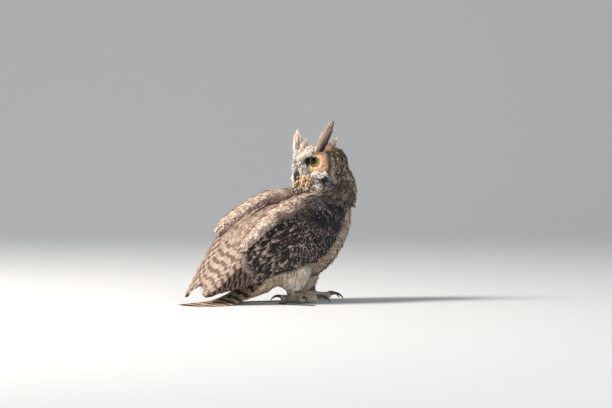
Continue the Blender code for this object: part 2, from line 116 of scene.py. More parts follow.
def lid_gap(flat):
    """The angle off the gaze at which the lids end: smallest at the top, largest toward the bill."""
    ahead, high = flat.T
    return 58 - 30 * high.clip(0) ** 1.3 - 10 * (-high).clip(0) ** 2 + 4 * ahead.clip(0) ** 4


print("body's origin:", ORIGIN.round(1), "head's centre:", HEAD_AT.round(1))

# %% [markdown]
# ## Studio
# A long lens from far away keeps the bird's proportions true. The key light is large, high and to
# the left, so that the back is bright and the wing's side falls into soft shade.

# %% Camera
SEEN_ACROSS = 1.285  # metres in view across the picture, at the bird
CAMERA_FROM, CAMERA_ABOVE, CAMERA_AWAY = -37, 1.5, 7.0
LOOKED_AT = Vector((0.0466, -0.0351, 0.2085))

turn, rise = math.radians(CAMERA_FROM), math.radians(CAMERA_ABOVE)
TO_CAMERA = Vector((math.sin(turn) * math.cos(rise), -math.cos(turn) * math.cos(rise), math.sin(rise)))
RIGHT = Vector((math.cos(turn), math.sin(turn), 0))
camera = bpy.data.objects.new("camera", bpy.data.cameras.new("camera"))
bpy.context.collection.objects.link(camera)
camera.location = LOOKED_AT + TO_CAMERA * CAMERA_AWAY
camera.rotation_euler = (-TO_CAMERA).to_track_quat("-Z", "Y").to_euler()
camera.data.lens = camera.data.sensor_width * CAMERA_AWAY / SEEN_ACROSS
camera.data.clip_end = 60
bpy.context.scene.camera = camera
print("lens:", round(camera.data.lens), "mm, camera height:", round(camera.location.z, 2), "m")


# %% Lights
def lamp(name, place, size, power, colour):
    """A square area light, turned to the middle of the bird."""
    data = bpy.data.lights.new(name, "AREA")
    data.size, data.energy, data.color = size, power, colour
    made = bpy.data.objects.new(name, data)
    bpy.context.collection.objects.link(made)
    made.location = LOOKED_AT + place
    made.rotation_euler = (-place).to_track_quat("-Z", "Y").to_euler()


lamp("key", RIGHT * -2.9 + TO_CAMERA * 0.7 + Vector((0, 0, 2.7)), 1.4, 265, (1, 0.93, 0.84))
lamp("fill", RIGHT * 1.6 + TO_CAMERA * 3.4 + Vector((0, 0, 1.1)), 2.4, 30, (0.88, 0.93, 1))
world = bpy.data.worlds.new("studio")
world.use_nodes = True
world.node_tree.nodes["Background"].inputs["Color"].default_value = (0.86, 0.93, 1, 1)
world.node_tree.nodes["Background"].inputs["Strength"].default_value = 0.36
bpy.context.scene.world = world
bpy.context.scene.view_settings.view_transform = "Standard"

# %% [markdown]
# ## Shading helpers
# Node trees are easier to read when a sum is one short line. A result here stands for what a node
# gives, and adding or multiplying results adds the nodes that do so.


# %% Helpers for node trees
def srgb(*channels):
    """A colour as an eye reads it, from 0 to 255, as the linear light that shaders use."""
    share = np.array(channels) / 255
    return np.where(share <= 0.04045, share / 12.92, ((share + 0.055) / 1.055) ** 2.4)


def opaque(*channels):
    return (*srgb(*channels), 1)


class Result:
    """What a node gives. Sums with it are new nodes in the same tree."""

    def __init__(self, tree, socket):
        self.tree, self.socket = tree, socket

    def __add__(self, other):
        return maths("ADD", self, other)

    def __sub__(self, other):
        return maths("SUBTRACT", self, other)

    def __rsub__(self, other):
        return maths("MULTIPLY_ADD", self, -1, other)

    def __mul__(self, other):
        return maths("MULTIPLY", self, other)

    def __truediv__(self, other):
        return maths("DIVIDE", self, other)

    def __abs__(self):
        return maths("ABSOLUTE", self)


def feed(socket, value):
    """Links a result to a socket, or sets the socket to a plain value."""
    if isinstance(value, Result):
        value.tree.links.new(value.socket, socket)
    else:
        socket.default_value = value


def new_node(tree, kind, output=0, settings=(), **inputs):
    """One result of a new node, with its settings made and its inputs fed."""
    made = tree.nodes.new(f"ShaderNode{kind}")
    for label, value in dict(settings).items():
        setattr(made, label, value)
    for label, value in inputs.items():
        feed(made.inputs[label.replace("_", " ")], value)
    return Result(tree, made.outputs[output])


def maths(operation, first, *others):
    made = first.tree.nodes.new("ShaderNodeMath")
    made.operation = operation
    for socket, value in zip(made.inputs, (first, *others)):
        feed(socket, value)
    return Result(first.tree, made.outputs[0])


def ramp(value, low, high):
    """0 under low, 1 over high, and smooth between. High may be the smaller one."""
    smooth = {"interpolation_type": "SMOOTHSTEP"}
    return new_node(value.tree, "MapRange", 0, smooth, Value=value, From_Min=low, From_Max=high)


def noise(vector, scale, detail, rough=0.5):
    given = {"Vector": vector, "Scale": scale, "Detail": detail, "Roughness": rough}
    return new_node(vector.tree, "TexNoise", "Fac", **given)


def blend(amount, first, second):
    made = amount.tree.nodes.new("ShaderNodeMix")
    made.data_type = "RGBA"
    for place, value in ((0, amount), (6, first), (7, second)):
        feed(made.inputs[place], value)
    return Result(amount.tree, made.outputs[2])


def parts(vector):
    made = vector.tree.nodes.new("ShaderNodeSeparateXYZ")
    feed(made.inputs[0], vector)
    return [Result(vector.tree, output) for output in made.outputs]


def place_in(tree):
    return new_node(tree, "TexCoord", "Object")


def stored(tree, name, output="Vector"):
    """What the mesh holds as an attribute with this name."""
    return new_node(tree, "Attribute", output, {"attribute_name": name})


def relief(shader, height, strength, distance):
    """Bumps the surface, by the distance in metres for a height of 1."""
    bump = new_node(height.tree, "Bump", Strength=strength, Distance=distance, Height=height)
    feed(shader.inputs["Normal"], bump)


def group(name, inputs, outputs):
    """An empty node group, with what it is given and the sockets that it fills."""
    made = bpy.data.node_groups.new(name, "ShaderNodeTree")
    for way, sockets in (("INPUT", inputs), ("OUTPUT", outputs)):
        for label, kind in sockets.items():
            made.interface.new_socket(label, in_out=way, socket_type=f"NodeSocket{kind}")
    given = {socket.name: Result(made, socket) for socket in made.nodes.new("NodeGroupInput").outputs}
    return made, given, made.nodes.new("NodeGroupOutput").inputs


def material(name, roughness, **settings):
    """A material with a Principled shader, and its tree and shader."""
    made = bpy.data.materials.new(name)
    made.use_nodes = True
    shader = made.node_tree.nodes["Principled BSDF"]
    shader.inputs["Roughness"].default_value = roughness
    for label, value in settings.items():
        shader.inputs[label.replace("_", " ").title().replace("Ior", "IOR")].default_value = value
    return made, made.node_tree, shader


# %% [markdown]
# ## Markings of a feather
# A great horned owl's feathers are buff or grey, crossed by broken dark bars, peppered with fine
# mottling, and often dark along the shaft. One node group draws all of that from a few amounts, so
# that the same group serves a tail feather with bold bars and a face feather with hardly any. Each
# feather carries its own colours and amounts as attributes, and a map of its vane: across it, and
# from root to tip.


# %% The group that draws bars, streaks and mottling
TURN = 2 * math.pi


def feather_markings():
    tree, given, result = group(
        "feather markings",
        {"Vane": "Vector", "Place": "Vector", "Ground": "Color", "Marks": "Color",
         "Habit": "Vector", "Touch": "Vector"},
        {"Color": "Color", "Height": "Float"},
    )  # fmt: skip
    across, along, _ = parts(given["Vane"])
    bars, bar_amount, streak_amount = parts(given["Habit"])
    mottle_amount, tip_amount, seed = parts(given["Touch"])
    side = abs(across - 0.5) * 2
    count = along * bars
    uneven = noise(new_node(tree, "CombineXYZ", X=across, Y=count * 0.5, Z=seed * 61), 2.6, 3, 0.62) - 0.5
    phase = count + uneven * 0.9 + (side * -0.22 + seed)
    bar = ramp(maths("SINE", phase * TURN), -0.15, 0.45) * bar_amount
    streak = ramp(side + uneven * 0.9, 0.5, 0.12) * streak_amount
    pepper = noise(given["Place"], 125, 1) * 0.45 + noise(given["Place"], 330, 3, 0.7) * 0.55
    mottle = ramp(pepper + mottle_amount * 0.1, 0.53, 0.6) * mottle_amount
    dark = 1 - (1 - bar) * (1 - streak) * (1 - mottle)
    fringe = maths("MAXIMUM", ramp(along, 0.85, 0.98), ramp(side, 0.72, 1) * 0.35)
    marked = blend(dark * (1 - fringe * tip_amount), given["Ground"], given["Marks"])
    shaft = ramp(side, 0.07, 0.02) * 0.45
    feed(result["Color"], blend(shaft, marked, given["Marks"]))
    barbs = maths("SINE", (along * 34 + side * -7) * TURN)
    feed(result["Height"], barbs * 0.3 + pepper * 1.2)
    return tree


FEATHER_MARKINGS = feather_markings()


# %% Feather materials, one for each finish of feather
def feather_material(name, roughness, sheen, bumps, has_vanes=True):
    """Feathers of one finish. The skin has no vanes, so it reads its own place instead."""
    made, tree, shader = material(
        name, roughness, sheen_weight=sheen, sheen_roughness=0.5, specular_ior_level=0.15)  # fmt: skip
    place = place_in(tree)
    if has_vanes:
        vane = new_node(tree, "UVMap", 0, {"uv_map": "Vane"})
    else:
        vane = new_node(tree, "Mapping", Vector=place, Scale=(30, 30, 30))
    drawn = tree.nodes.new("ShaderNodeGroup")
    drawn.node_tree = FEATHER_MARKINGS
    feed(drawn.inputs["Place"], place)
    feed(drawn.inputs["Vane"], vane)
    for label, output in (("Ground", "Color"), ("Marks", "Color"), ("Habit", "Vector"), ("Touch", "Vector")):
        feed(drawn.inputs[label], stored(tree, label.lower(), output))
    feed(shader.inputs["Base Color"], Result(tree, drawn.outputs["Color"]))
    relief(shader, Result(tree, drawn.outputs["Height"]), bumps, 0.0006)
    return made


MOTTLED = feather_material("mottled feather", 0.72, 0.08, 0.5)
BARRED = feather_material("barred feather", 0.55, 0.04, 0.4)
BREAST = feather_material("breast feather", 0.8, 0.12, 0.5)
FACE = feather_material("face feather", 0.8, 0.12, 0.4)
LEG = feather_material("leg feather", 0.82, 0.12, 0.4)
UNDERCOAT = feather_material("undercoat", 0.9, 0.05, 0.5, has_vanes=False)
print("feather materials:", [m.name for m in bpy.data.materials if "feather" in m.name])

# %% [markdown]
# ## The skin
# All the nodes of flesh become one closed surface: copies of them are swollen until they touch,
# joined, and remeshed in small cubes, which melts the seams away and fills the clefts between a
# wing, its scapulars and the back. Balls stand in for the mounds of the lids, and for the ends of
# the toes, which smoothing would shorten.

# %% One surface from the nodes of flesh
FLESH = sorted(
    name
    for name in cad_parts
    if name.startswith(("trunk", "neck", "head", "scapulars", "vent", "thigh", "foot"))
    or name.endswith("coverts")
)
SWELL = {"foot": 0.8, "thigh": 2.5, "head": 2.5}  # other nodes swell by BODY_SWELL
BODY_SWELL, CUBE, LID_MOUND, TOE_MOUND = 7, 2.4, 19, 8.8
TOE_MOUND_PAST, TOE_MOUND_HIGH = 3, 9.5  # past the toe's length, and above the floor
FEET = {"left": (46, 31, -8), "right": (-42, -37, -52)}  # x, y, and the middle toe's heading
TOES = {"inner": (24, 37), "middle": (-6, 42), "outer": (-52, 35), "hind": (168, 22)}  # turn and length


def toe_angle(side_name, toe):
    return math.radians(FEET[side_name][2] - SIDES[side_name] * TOES[toe][0])


def over_toe(side_name, toe, ahead, high):
    """A place this far along a toe from the middle of the foot, and this high above the floor."""
    x, y, _ = FEET[side_name]
    angle = toe_angle(side_name, toe)
    return ORIGIN + (x + ahead * math.cos(angle), y + ahead * math.sin(angle), high)


def swell_of(node):
    return SWELL.get(node.split("_")[0], BODY_SWELL)


def deselect():
    bpy.ops.object.select_all(action="DESELECT")


def apply(piece, kind, **settings):
    modifier = piece.modifiers.new(kind.title(), kind)
    for name, value in settings.items():
        setattr(modifier, name, value)
    bpy.context.view_layer.objects.active = piece
    bpy.ops.object.modifier_apply(modifier=modifier.name)


def edit(piece, *steps):
    """Runs edit-mode operators on all of a piece. Each step is an operator and its settings."""
    deselect()
    piece.select_set(True)
    bpy.context.view_layer.objects.active = piece
    bpy.ops.object.mode_set(mode="EDIT")
    bpy.ops.mesh.select_all(action="SELECT")
    for operator, settings in steps:
        operator(**settings)
    bpy.ops.object.mode_set(mode="OBJECT")


def copied(node, name):
    """A piece of its own with a CAD node's shape, its loose triangles merged."""
    piece = bpy.data.objects.new(name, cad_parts[node].data.copy())
    bpy.context.collection.objects.link(piece)
    edit(piece, (bpy.ops.mesh.remove_doubles, {"threshold": 0.01 * MM}))
    piece.data.materials.clear()
    return piece


copies = []
for node in FLESH:
    twin = copied(node, f"{node}_copy")
    apply(twin, "DISPLACE", strength=swell_of(node) * MM, mid_level=0)
    copies.append(twin)
mounds = [(from_head(centre), LID_MOUND) for centre, _ in EYES.values()]
mounds += [
    (over_toe(side_name, toe, length + TOE_MOUND_PAST, TOE_MOUND_HIGH), TOE_MOUND)
    for side_name in FEET
    for toe, (_, length) in TOES.items()
]
for centre, radius in mounds:
    at = Vector(centre) * MM
    bpy.ops.mesh.primitive_uv_sphere_add(segments=48, ring_count=24, radius=radius * MM, location=at)
    bpy.ops.object.transform_apply(location=True)
    copies.append(bpy.context.object)
deselect()
for twin in copies:
    twin.select_set(True)
skin = copies[0]
bpy.context.view_layer.objects.active = skin
bpy.ops.object.join()
skin.name = skin.data.name = "skin"
apply(skin, "REMESH", mode="VOXEL", voxel_size=CUBE * MM)
edit(skin, (bpy.ops.mesh.separate, {"type": "LOOSE"}))
shells = sorted(bpy.context.selected_objects, key=lambda shell: len(shell.data.vertices))
skin = shells.pop()
for bubble in shells:
    bpy.data.objects.remove(bubble)
skin.name = "skin"
apply(skin, "SMOOTH", factor=0.5, iterations=8)
print("skin:", len(skin.data.polygons), "faces,", len(shells), "inner bubbles removed")


# %% Its points, normals and neighbours, as arrays
def read(owner, name, width, kind=np.float32):
    values = np.empty(len(owner) * width, kind)
    owner.foreach_get(name, values)
    return values.reshape(-1, width) if width > 1 else values


points = read(skin.data.vertices, "co", 3).astype(float) / MM
normals = read(skin.data.vertices, "normal", 3).astype(float)
edges = read(skin.data.edges, "vertices", 2, np.int32)
ends = np.concatenate([edges, edges[:, ::-1]])
neighbours = np.bincount(ends[:, 0], minlength=len(points))[:, None]


def spread(values, times):
    """Averages values over the skin's neighbouring points, again and again."""
    values = np.asarray(values, float)
    flat = values.reshape(len(values), -1)
    for _ in range(times):
        sums = [np.bincount(ends[:, 0], column[ends[:, 1]], len(flat)) for column in flat.T]
        flat = 0.5 * flat + 0.5 * np.stack(sums, 1) / np.maximum(neighbours, 1)
    return flat.reshape(values.shape)


# %% Which node each point came from
tree_points, tree_faces, tree_owner = [], [], []
for index, node in enumerate(FLESH):
    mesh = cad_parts[node].data
    start = sum(len(group) for group in tree_points)
    tree_points.append(read(mesh.vertices, "co", 3) / MM)
    faces = read(mesh.loops, "vertex_index", 1, np.int32).reshape(-1, 3) + start
    tree_faces.append(faces)
    tree_owner += [index] * len(faces)
solids = BVHTree.FromPolygons(np.concatenate(tree_points).tolist(), np.concatenate(tree_faces).tolist())
nearest = [solids.find_nearest(Vector(point))[2] for point in points]
owner = np.array(tree_owner)[nearest]
came_from = np.array(FLESH)[owner]
print({node: int((owner == i).sum()) for i, node in enumerate(FLESH)})

# %% [markdown]
# ## The lie of the coat
# Feathers point away from the bill over the head, down the neck and breast, and back along the
# body, wings and tail. A few guide lines say so for each part, each point takes the way of the
# nearest one, and averaging over the surface makes the turns smooth.

# %% Sizes that the guides and the flight feathers share
# Folded wing, wrist to tip: x, z of its top and bottom edges, y of its top edge, widest part and
# bottom edge.
WING = np.array([
    (78, 202, 188, 58, 64, 61), (64, 216, 170, 46, 78, 70), (40, 223, 138, 34, 88, 76),
    (4, 224, 94, 24, 95, 80), (-48, 216, 78, 16, 94, 78), (-100, 199, 64, 8, 87, 70),
    (-150, 166, 46, 3, 74, 58), (-195, 116, 29, 1, 57, 43), (-232, 66, 17, 1, 40, 30),
    (-262, 24, 10, 1, 22, 16),
])  # fmt: skip
WING_SEAM = 13
WING_SPREAD, WING_LIFT = {"left": 34, "right": 0}, {"left": 20, "right": 0}
CREASE = 0.54  # the share of the way across at which the wing's top turns into its side


def between(rows, share):
    """Rows at these shares of the way along a table, on a smooth curve through its rows."""
    rows = np.asarray(rows, float)
    place = np.clip(share, 0, 1) * (len(rows) - 1)
    i = np.minimum(np.asarray(place).astype(int), len(rows) - 2)
    t = (place - i)[..., None]
    a, b, c, d = (rows[np.clip(i + k, 0, len(rows) - 1)] for k in (-1, 0, 1, 2))
    return b + 0.5 * t * (c - a + t * (2 * a - 5 * b + 4 * c - d + t * (3 * (b - c) + d - a)))


def wing_surface(side_name, along, across, depth=0.0):
    """Points of the folded wing: along from wrist to tip, across from its top edge, over its side,
    to its bottom edge, and depth towards the body."""
    along, across, depth = np.broadcast_arrays(*(np.asarray(v, float) for v in (along, across, depth)))
    x, top, bottom, y_top, y_wide, y_low = np.moveaxis(between(WING, along), -1, 0)
    tall, widest = top - bottom, (top + bottom) / 2
    over = across < CREASE
    angle = np.where(over, 1 - across / CREASE, (across - CREASE) / (1 - CREASE)) * math.pi / 2
    edge_y, edge_z = np.where(over, y_top, y_low), np.where(over, top, bottom)
    y = edge_y + (y_wide - edge_y) * np.cos(angle)
    point = np.stack([x, y, widest + (edge_z - widest) * np.sin(angle)], -1)
    inward = np.stack([x, 0.25 * y_top, widest - 0.1 * tall], -1) - point
    far = np.linalg.norm(inward, axis=-1)
    point = point + inward / far[..., None] * np.minimum(depth, 0.6 * far)[..., None]
    seam = WING_SEAM * np.clip(along, 0, 1) ** 1.5 * np.maximum(1 - across / CREASE, 0)
    out = np.minimum(point[..., 1] / y_wide, 1) * WING_SPREAD[side_name] * np.clip(along, 0, 1) ** 2.2
    rise = 4 * along * (1 - along) * WING_LIFT[side_name] * np.sin(math.pi * np.clip(across, 0, 1))
    y = SIDES[side_name] * (point[..., 1] + out) + seam
    return np.stack([point[..., 0], y, point[..., 2] + rise], -1) + ORIGIN


print("wing tips:", [wing_surface(side, 1, 0.5).round() for side in SIDES])

# %% Guide lines
GUIDES = {
    "trunk": [
        [(118, 0, 205), (114, 0, 172), (104, 0, 138), (84, 0, 101), (56, 0, 72), (10, 0, 48), (-40, 0, 42),
         (-100, 0, 44)],
        [(100, 0, 226), (50, 0, 230), (-10, 0, 214), (-52, 0, 188), (-90, 0, 152), (-134, 0, 72)],
    ],
    "neck": [
        [(10, 0, 275), (2, 0, 240), (-12, 0, 214), (-60, 0, 200)],
        [(136, 0, 275), (140, 0, 238), (130, 0, 205), (116, 0, 180)],
        *([(66, s * 62, 275), (70, s * 62, 235), (60, s * 66, 205), (30, s * 80, 180)] for s in (1, -1)),
    ],
    "vent": [[(-60, 0, 50), (-96, 0, 40), (-130, 0, 24), (-165, 0, 10)]],
    "scapulars_left": [
        [(44, 30, 226), (-46, 42, 223), (-100, 46, 203), (-144, 49, 176), (-180, 51, 150)]],
    "scapulars_right": [
        [(44, -34, 224), (-50, -48, 212), (-104, -50, 187), (-148, -46, 152), (-184, -38, 112)]],
    "thigh_left": [[(22, 37, 98), (44, 31, 34)]],
    "thigh_right": [[(-54, -41, 98), (-44, -37, 34)]],
}  # fmt: skip
GUIDES = {node: [np.array(line, float) + ORIGIN for line in lines] for node, lines in GUIDES.items()}
steps = np.linspace(0, 0.75, 10)
for side_name in SIDES:
    GUIDES[f"wing_{side_name}_coverts"] = [
        wing_surface(side_name, steps, across) for across in (0.05, 0.3, 0.54, 0.78, 0.97)
    ]
    GUIDES[f"foot_{side_name}"] = [
        np.array([over_toe(side_name, toe, *spot) for spot in ((9, 45), (11, 14), (length + 9, 0))])
        for toe, (_, length) in TOES.items()
    ]


def guided(places, lines):
    """The way of the nearest stretch of these lines, for each place."""
    best, way = np.full(len(places), np.inf), np.zeros((len(places), 3))
    for line in lines:
        for start, end in zip(line[:-1], line[1:]):
            step = end - start
            share = np.clip((places - start) @ step / (step @ step), 0, 1)
            off = np.linalg.norm(places - start - share[:, None] * step, axis=1)
            closer = off < best
            best[closer], way[closer] = off[closer], unit(step)
    return way


def over_head(places):
    """Away from the bill, out from each eye near it, and down the back of the head."""
    local = in_head(places)
    away = unit(local - (50, 0, -2))
    for side in SIDES.values():
        off = local - (EYE_AHEAD, side * EYE_OUT, EYE_UP)
        near = np.exp(-((np.linalg.norm(off, axis=1, keepdims=True) / 26) ** 4))
        away = away * (1 - near) + unit(off) * near
    fall = np.clip((10 - local[:, :1]) / 40, 0, 1)
    return away @ HEAD_TURN.T * (1 - 0.7 * fall) + np.array((0, 0, -1)) * fall


lie = np.zeros_like(points)
for node in FLESH:
    mine = came_from == node
    lie[mine] = over_head(points[mine]) if node == "head" else guided(points[mine], GUIDES[node])


def along_surface(vectors, facing):
    return unit(vectors - (vectors * facing).sum(-1, keepdims=True) * facing)


for _ in range(6):
    lie = along_surface(spread(lie, 8), normals)
print("lie of the coat found at", len(lie), "points")

# %% [markdown]
# ## Kinds of feather
# Each part of the coat has its own kind: how deep the coat is, how long and wide a feather is, how
# far apart feathers grow, and how strongly bars, shaft streaks and mottling show. The face and the
# toes have the smallest feathers. The amounts are averaged over the skin, so that one kind passes
# into the next without a line. Soft strokes then put what no kind has in its place: the white brow,
# the orange cheek, the black ruff and the dark shoulder with its buff streaks. The shoulder's bluish
# dark, like that of the neck's side and the wing's front, is partly plumage and partly painted shade.

# %% The kinds, and the coat's colours
# depth, length, width, spacing; bars along a feather, and amounts of bar, streak, mottling, pale tip
KINDS = {
    "face": (2.4, 9, 3.8, 1.6, 2, 0.1, 0.0, 0.3, 0.0),
    "crown": (3.6, 12, 5.4, 2.5, 2, 0.4, 0.8, 0.95, 0.35),
    "neck": (5, 18, 7, 3.1, 2.5, 0.4, 0.7, 0.9, 0.4),
    "mantle": (5.5, 28, 12, 4.4, 4, 0.4, 0.3, 0.7, 0.5),
    "scapulars": (5, 38, 13, 4.4, 4, 0.35, 0.15, 0.65, 0.4),
    "coverts": (4.5, 22, 12.5, 4.4, 1.6, 1.0, 0.9, 1.0, 0.75),
    "breast": (6, 27, 10, 4.6, 6, 0.9, 0.1, 0.25, 0.1),
    "belly": (7, 46, 6.5, 3.8, 8, 0.5, 0.0, 0.15, 0.1),
    "vent": (6, 48, 9, 4.6, 5, 0.4, 0.0, 0.2, 0.2),
    "thigh": (6, 26, 6, 3.3, 5, 0.25, 0.0, 0.1, 0.2),
    "foot": (1.5, 8, 3.4, 1.8, 2, 0.15, 0.0, 0.25, 0.1),
}
COLOURS = {  # ground, marks, the ground of some of the feathers, and how many those are
    "face": (srgb(236, 214, 186), srgb(128, 112, 104), srgb(250, 238, 222), 0.2),
    "crown": (srgb(208, 182, 150), srgb(26, 23, 25), srgb(242, 224, 200), 0.3),
    "neck": (srgb(230, 204, 174), srgb(50, 45, 43), srgb(246, 228, 206), 0.35),
    "mantle": (srgb(228, 200, 180), srgb(126, 106, 96), srgb(244, 224, 208), 0.25),
    "scapulars": (srgb(238, 211, 192), srgb(134, 112, 100), srgb(246, 226, 210), 0.3),
    "coverts": (srgb(190, 165, 150), srgb(26, 28, 38), srgb(226, 202, 186), 0.3),
    "breast": (srgb(224, 190, 150), srgb(62, 52, 48), srgb(246, 232, 214), 0.35),
    "belly": (srgb(255, 250, 242), srgb(122, 94, 66), srgb(236, 184, 126), 0.35),
    "vent": (srgb(244, 222, 186), srgb(84, 62, 46), srgb(210, 152, 90), 0.45),
    "thigh": (srgb(255, 246, 232), srgb(112, 88, 68), srgb(236, 188, 132), 0.35),
    "foot": (srgb(222, 204, 178), srgb(98, 84, 72), srgb(240, 228, 208), 0.3),
}
NAMES = list(KINDS)
kind = np.full(len(points), NAMES.index("mantle"))
for start, name in (("scapulars", "scapulars"), ("wing", "coverts"), ("neck", "neck"), ("vent", "vent"),
                    ("thigh", "thigh"), ("foot", "foot")):  # fmt: skip
    kind[np.char.startswith(came_from, start)] = NAMES.index(name)
head_places = in_head(points)
on_head = came_from == "head"
forehead = (head_places[:, 2] > 31) & (abs(head_places[:, 1]) < 26)
on_face = (head_places[:, 0] > 14) & ~forehead
kind[on_head] = np.where(on_face, NAMES.index("face"), NAMES.index("crown"))[on_head]
body_places = points - ORIGIN
front = (came_from == "trunk") & (normals[:, 2] < 0.35)
barred = (body_places[:, 2] > 112) | (body_places[:, 0] > -35)
kind[front] = np.where(barred[front], NAMES.index("breast"), NAMES.index("belly"))
table = np.array([KINDS[name] for name in NAMES])
amounts = spread(table[kind], 14)
ground = spread(np.array([COLOURS[name][0] for name in NAMES])[kind], 16)
marks = spread(np.array([COLOURS[name][1] for name in NAMES])[kind], 16)
print({name: int((kind == i).sum()) for i, name in enumerate(NAMES)})


# %% Strokes painted over them
def stroke(field, places, route, reach, value, strength):
    """Paints a soft line on the skin: full along the route and gone a little past its reach."""
    route = np.atleast_2d(np.asarray(route, float))
    best = np.full(len(places), np.inf)
    for start, end in zip(route, route[1:] if len(route) > 1 else route):
        for share in np.linspace(0, 1, 2 + int(np.linalg.norm(end - start) / 3)):
            on_skin = places[((places - start - share * (end - start)) ** 2).sum(1).argmin()]
            best = np.minimum(best, np.linalg.norm(places - on_skin, axis=1))
    field += strength * np.exp(-((best / reach) ** 3))[:, None] * (np.asarray(value) - field)


STREAKS = 110  # short buff ones, over the dark of each shoulder
lift = np.zeros((len(points), 1))  # how much longer and higher feathers stand here
WHITE, CREAM, ORANGE = srgb(255, 246, 238), srgb(240, 218, 180), srgb(255, 184, 118)
BLACK, BUFF = srgb(26, 23, 25), srgb(198, 170, 146)
FACE_STROKES = {  # in the head's axes, for the left side; the right side mirrors them
    "forehead": ([(48, 3, 32), (35, 5, 40), (24, 8, 45)], 12, srgb(230, 210, 200), 0.9),
    "ash beside the bill": ([(56, 10, 12), (52, 13, 13)], 4, srgb(196, 188, 180), 0.8),
    "white brow": (
        [(57, 1, 22), (52, 12, 24), (47, 17, 29), (40, 26, 34), (31, 30, 40), (22, 28, 44)], 5, WHITE, 1),
    "orange over the eye": ([(35, 35, 32), (30, 41, 30), (27, 48, 24)], 6, ORANGE, 1),
    "brown end of the orange": ([(27, 46, 28), (24, 51, 22)], 3, srgb(150, 92, 52), 0.9),
    "brown spot at the brow": ([(38, 30, 32)], 2.6, srgb(60, 42, 36), 1),
    "cheek": (
        [(42, 31, 1), (37, 43, -2), (29, 52, 0), (24, 54, 14), (33, 48, -9)], 11, srgb(218, 171, 132), 1),
    "brown in the cheek": ([(42, 33, -7), (37, 41, -9)], 4, srgb(186, 128, 74), 0.7),
    "brown gape": ([(49, 22, -5), (45, 31, -8)], 4, srgb(168, 122, 76), 0.9),
    "white lores": ([(54, 9, 14), (52, 13, 6), (49, 18, -2)], 6, srgb(236, 230, 226), 0.8),
    "dark wedge": ([(46, 20, 20), (48, 17, 15), (46, 18, 9)], 6.8, BLACK, 1),
    "rim of the disc": (
        [(8, 43, 36), (12, 53, 23), (14, 57, 8), (16, 57, -4), (20, 55, -13)], 6, srgb(44, 38, 36), 0.95),
    "white under the cheek": ([(46, 30, -13), (38, 43, -15), (29, 51, -12)], 4, WHITE, 1),
    "orange chin": ([(60, 3, -24), (56, 12, -19), (52, 21, -19)], 7, srgb(244, 202, 156), 1),
    "gape line": ([(53, 16, -13), (47, 29, -14)], 1.8, srgb(84, 60, 48), 0.9),
    "chin spots": ([(61, 17, -30), (56, 23, -26)], 2.8, srgb(66, 40, 30), 1),
    "chin spots behind": ([(52, 29, -26), (46, 38, -28)], 2.8, srgb(66, 44, 36), 1),
    "white throat": ([(58, 22, -33), (52, 34, -33), (44, 45, -33)], 7.5, srgb(250, 250, 255), 1),
    "black ruff": (
        [(32, 46, -22), (26, 52, -25), (18, 57, -30), (12, 62, -40), (4, 65, -52)], 12, srgb(20, 21, 30), 1),
    "pale fleck in the ruff": ([(19, 57, -23), (14, 60, -28)], 3.6, srgb(214, 216, 228), 1),
    "fleck under it": ([(25, 54, -31), (21, 56, -35)], 3.2, srgb(206, 208, 222), 1),
    "fleck behind it": ([(8, 63, -34), (6, 64, -40)], 3.2, srgb(196, 196, 208), 1),
    "fleck lower in the ruff": ([(16, 59, -42), (12, 61, -48)], 3, srgb(190, 190, 204), 0.9),
    "buff beside the ruff": ([(2, 64, -30), (-4, 65, -40)], 4, srgb(206, 170, 128), 0.8),
    "brown nape": ([(-12, 67, -41), (-29, 63, -56), (-46, 56, -73)], 14, srgb(164, 120, 78), 0.8),
}
# The dark bluish strokes below are partly dark plumage and partly painted shade: on the wing's side, under
# the scapulars and behind the neck.
BODY_STROKES = {  # in the body's axes, for the left side
    "behind the neck": (
        [(-40, 74, 222), (12, 71, 221), (36, 85, 206), (54, 90, 189)], 16, srgb(36, 39, 54), 0.95),
    "shoulder": ([(-28, 89, 186), (4, 100, 171), (42, 91, 153)], 21, srgb(36, 39, 52), 0.95),
    "under the scapulars": ([(-28, 88, 203), (-66, 90, 190), (-100, 88, 170)], 13, srgb(54, 51, 58), 0.85),
    "front of the wing": ([(8, 97, 150), (14, 97, 126), (-4, 95, 104)], 17, srgb(62, 59, 63), 0.8),
    "buff edge": ([(-92, 68, 210), (-66, 80, 206), (-36, 86, 198)], 6, srgb(214, 186, 152), 0.75),
    "white fleck": ([(6, 69, 207), (-12, 93, 205)], 5.5, srgb(250, 251, 255), 1),
    "dark neck side": ([(22, 72, 236), (30, 80, 216)], 15, srgb(42, 42, 52), 0.9),
}
LIFTS = {  # more length and height
    "brow": ([(57, 1, 22), (50, 12, 27), (40, 26, 34), (30, 30, 42)], 8, 1.9),
    "forehead": ([(50, 0, 34), (36, 0, 42)], 9, 1.0),
    "nape": ([(-32, 60, -50), (-50, 46, -56)], 10, 1.8),
    "crown": ([(34, 0, 44), (14, 6, 50)], 14, 0.7),
    "white under the cheek": ([(46, 31, -16), (39, 42, -20), (30, 49, -16)], 5, 0.8),
    "chin": ([(58, 8, -24), (52, 21, -22)], 8, 0.8),
}
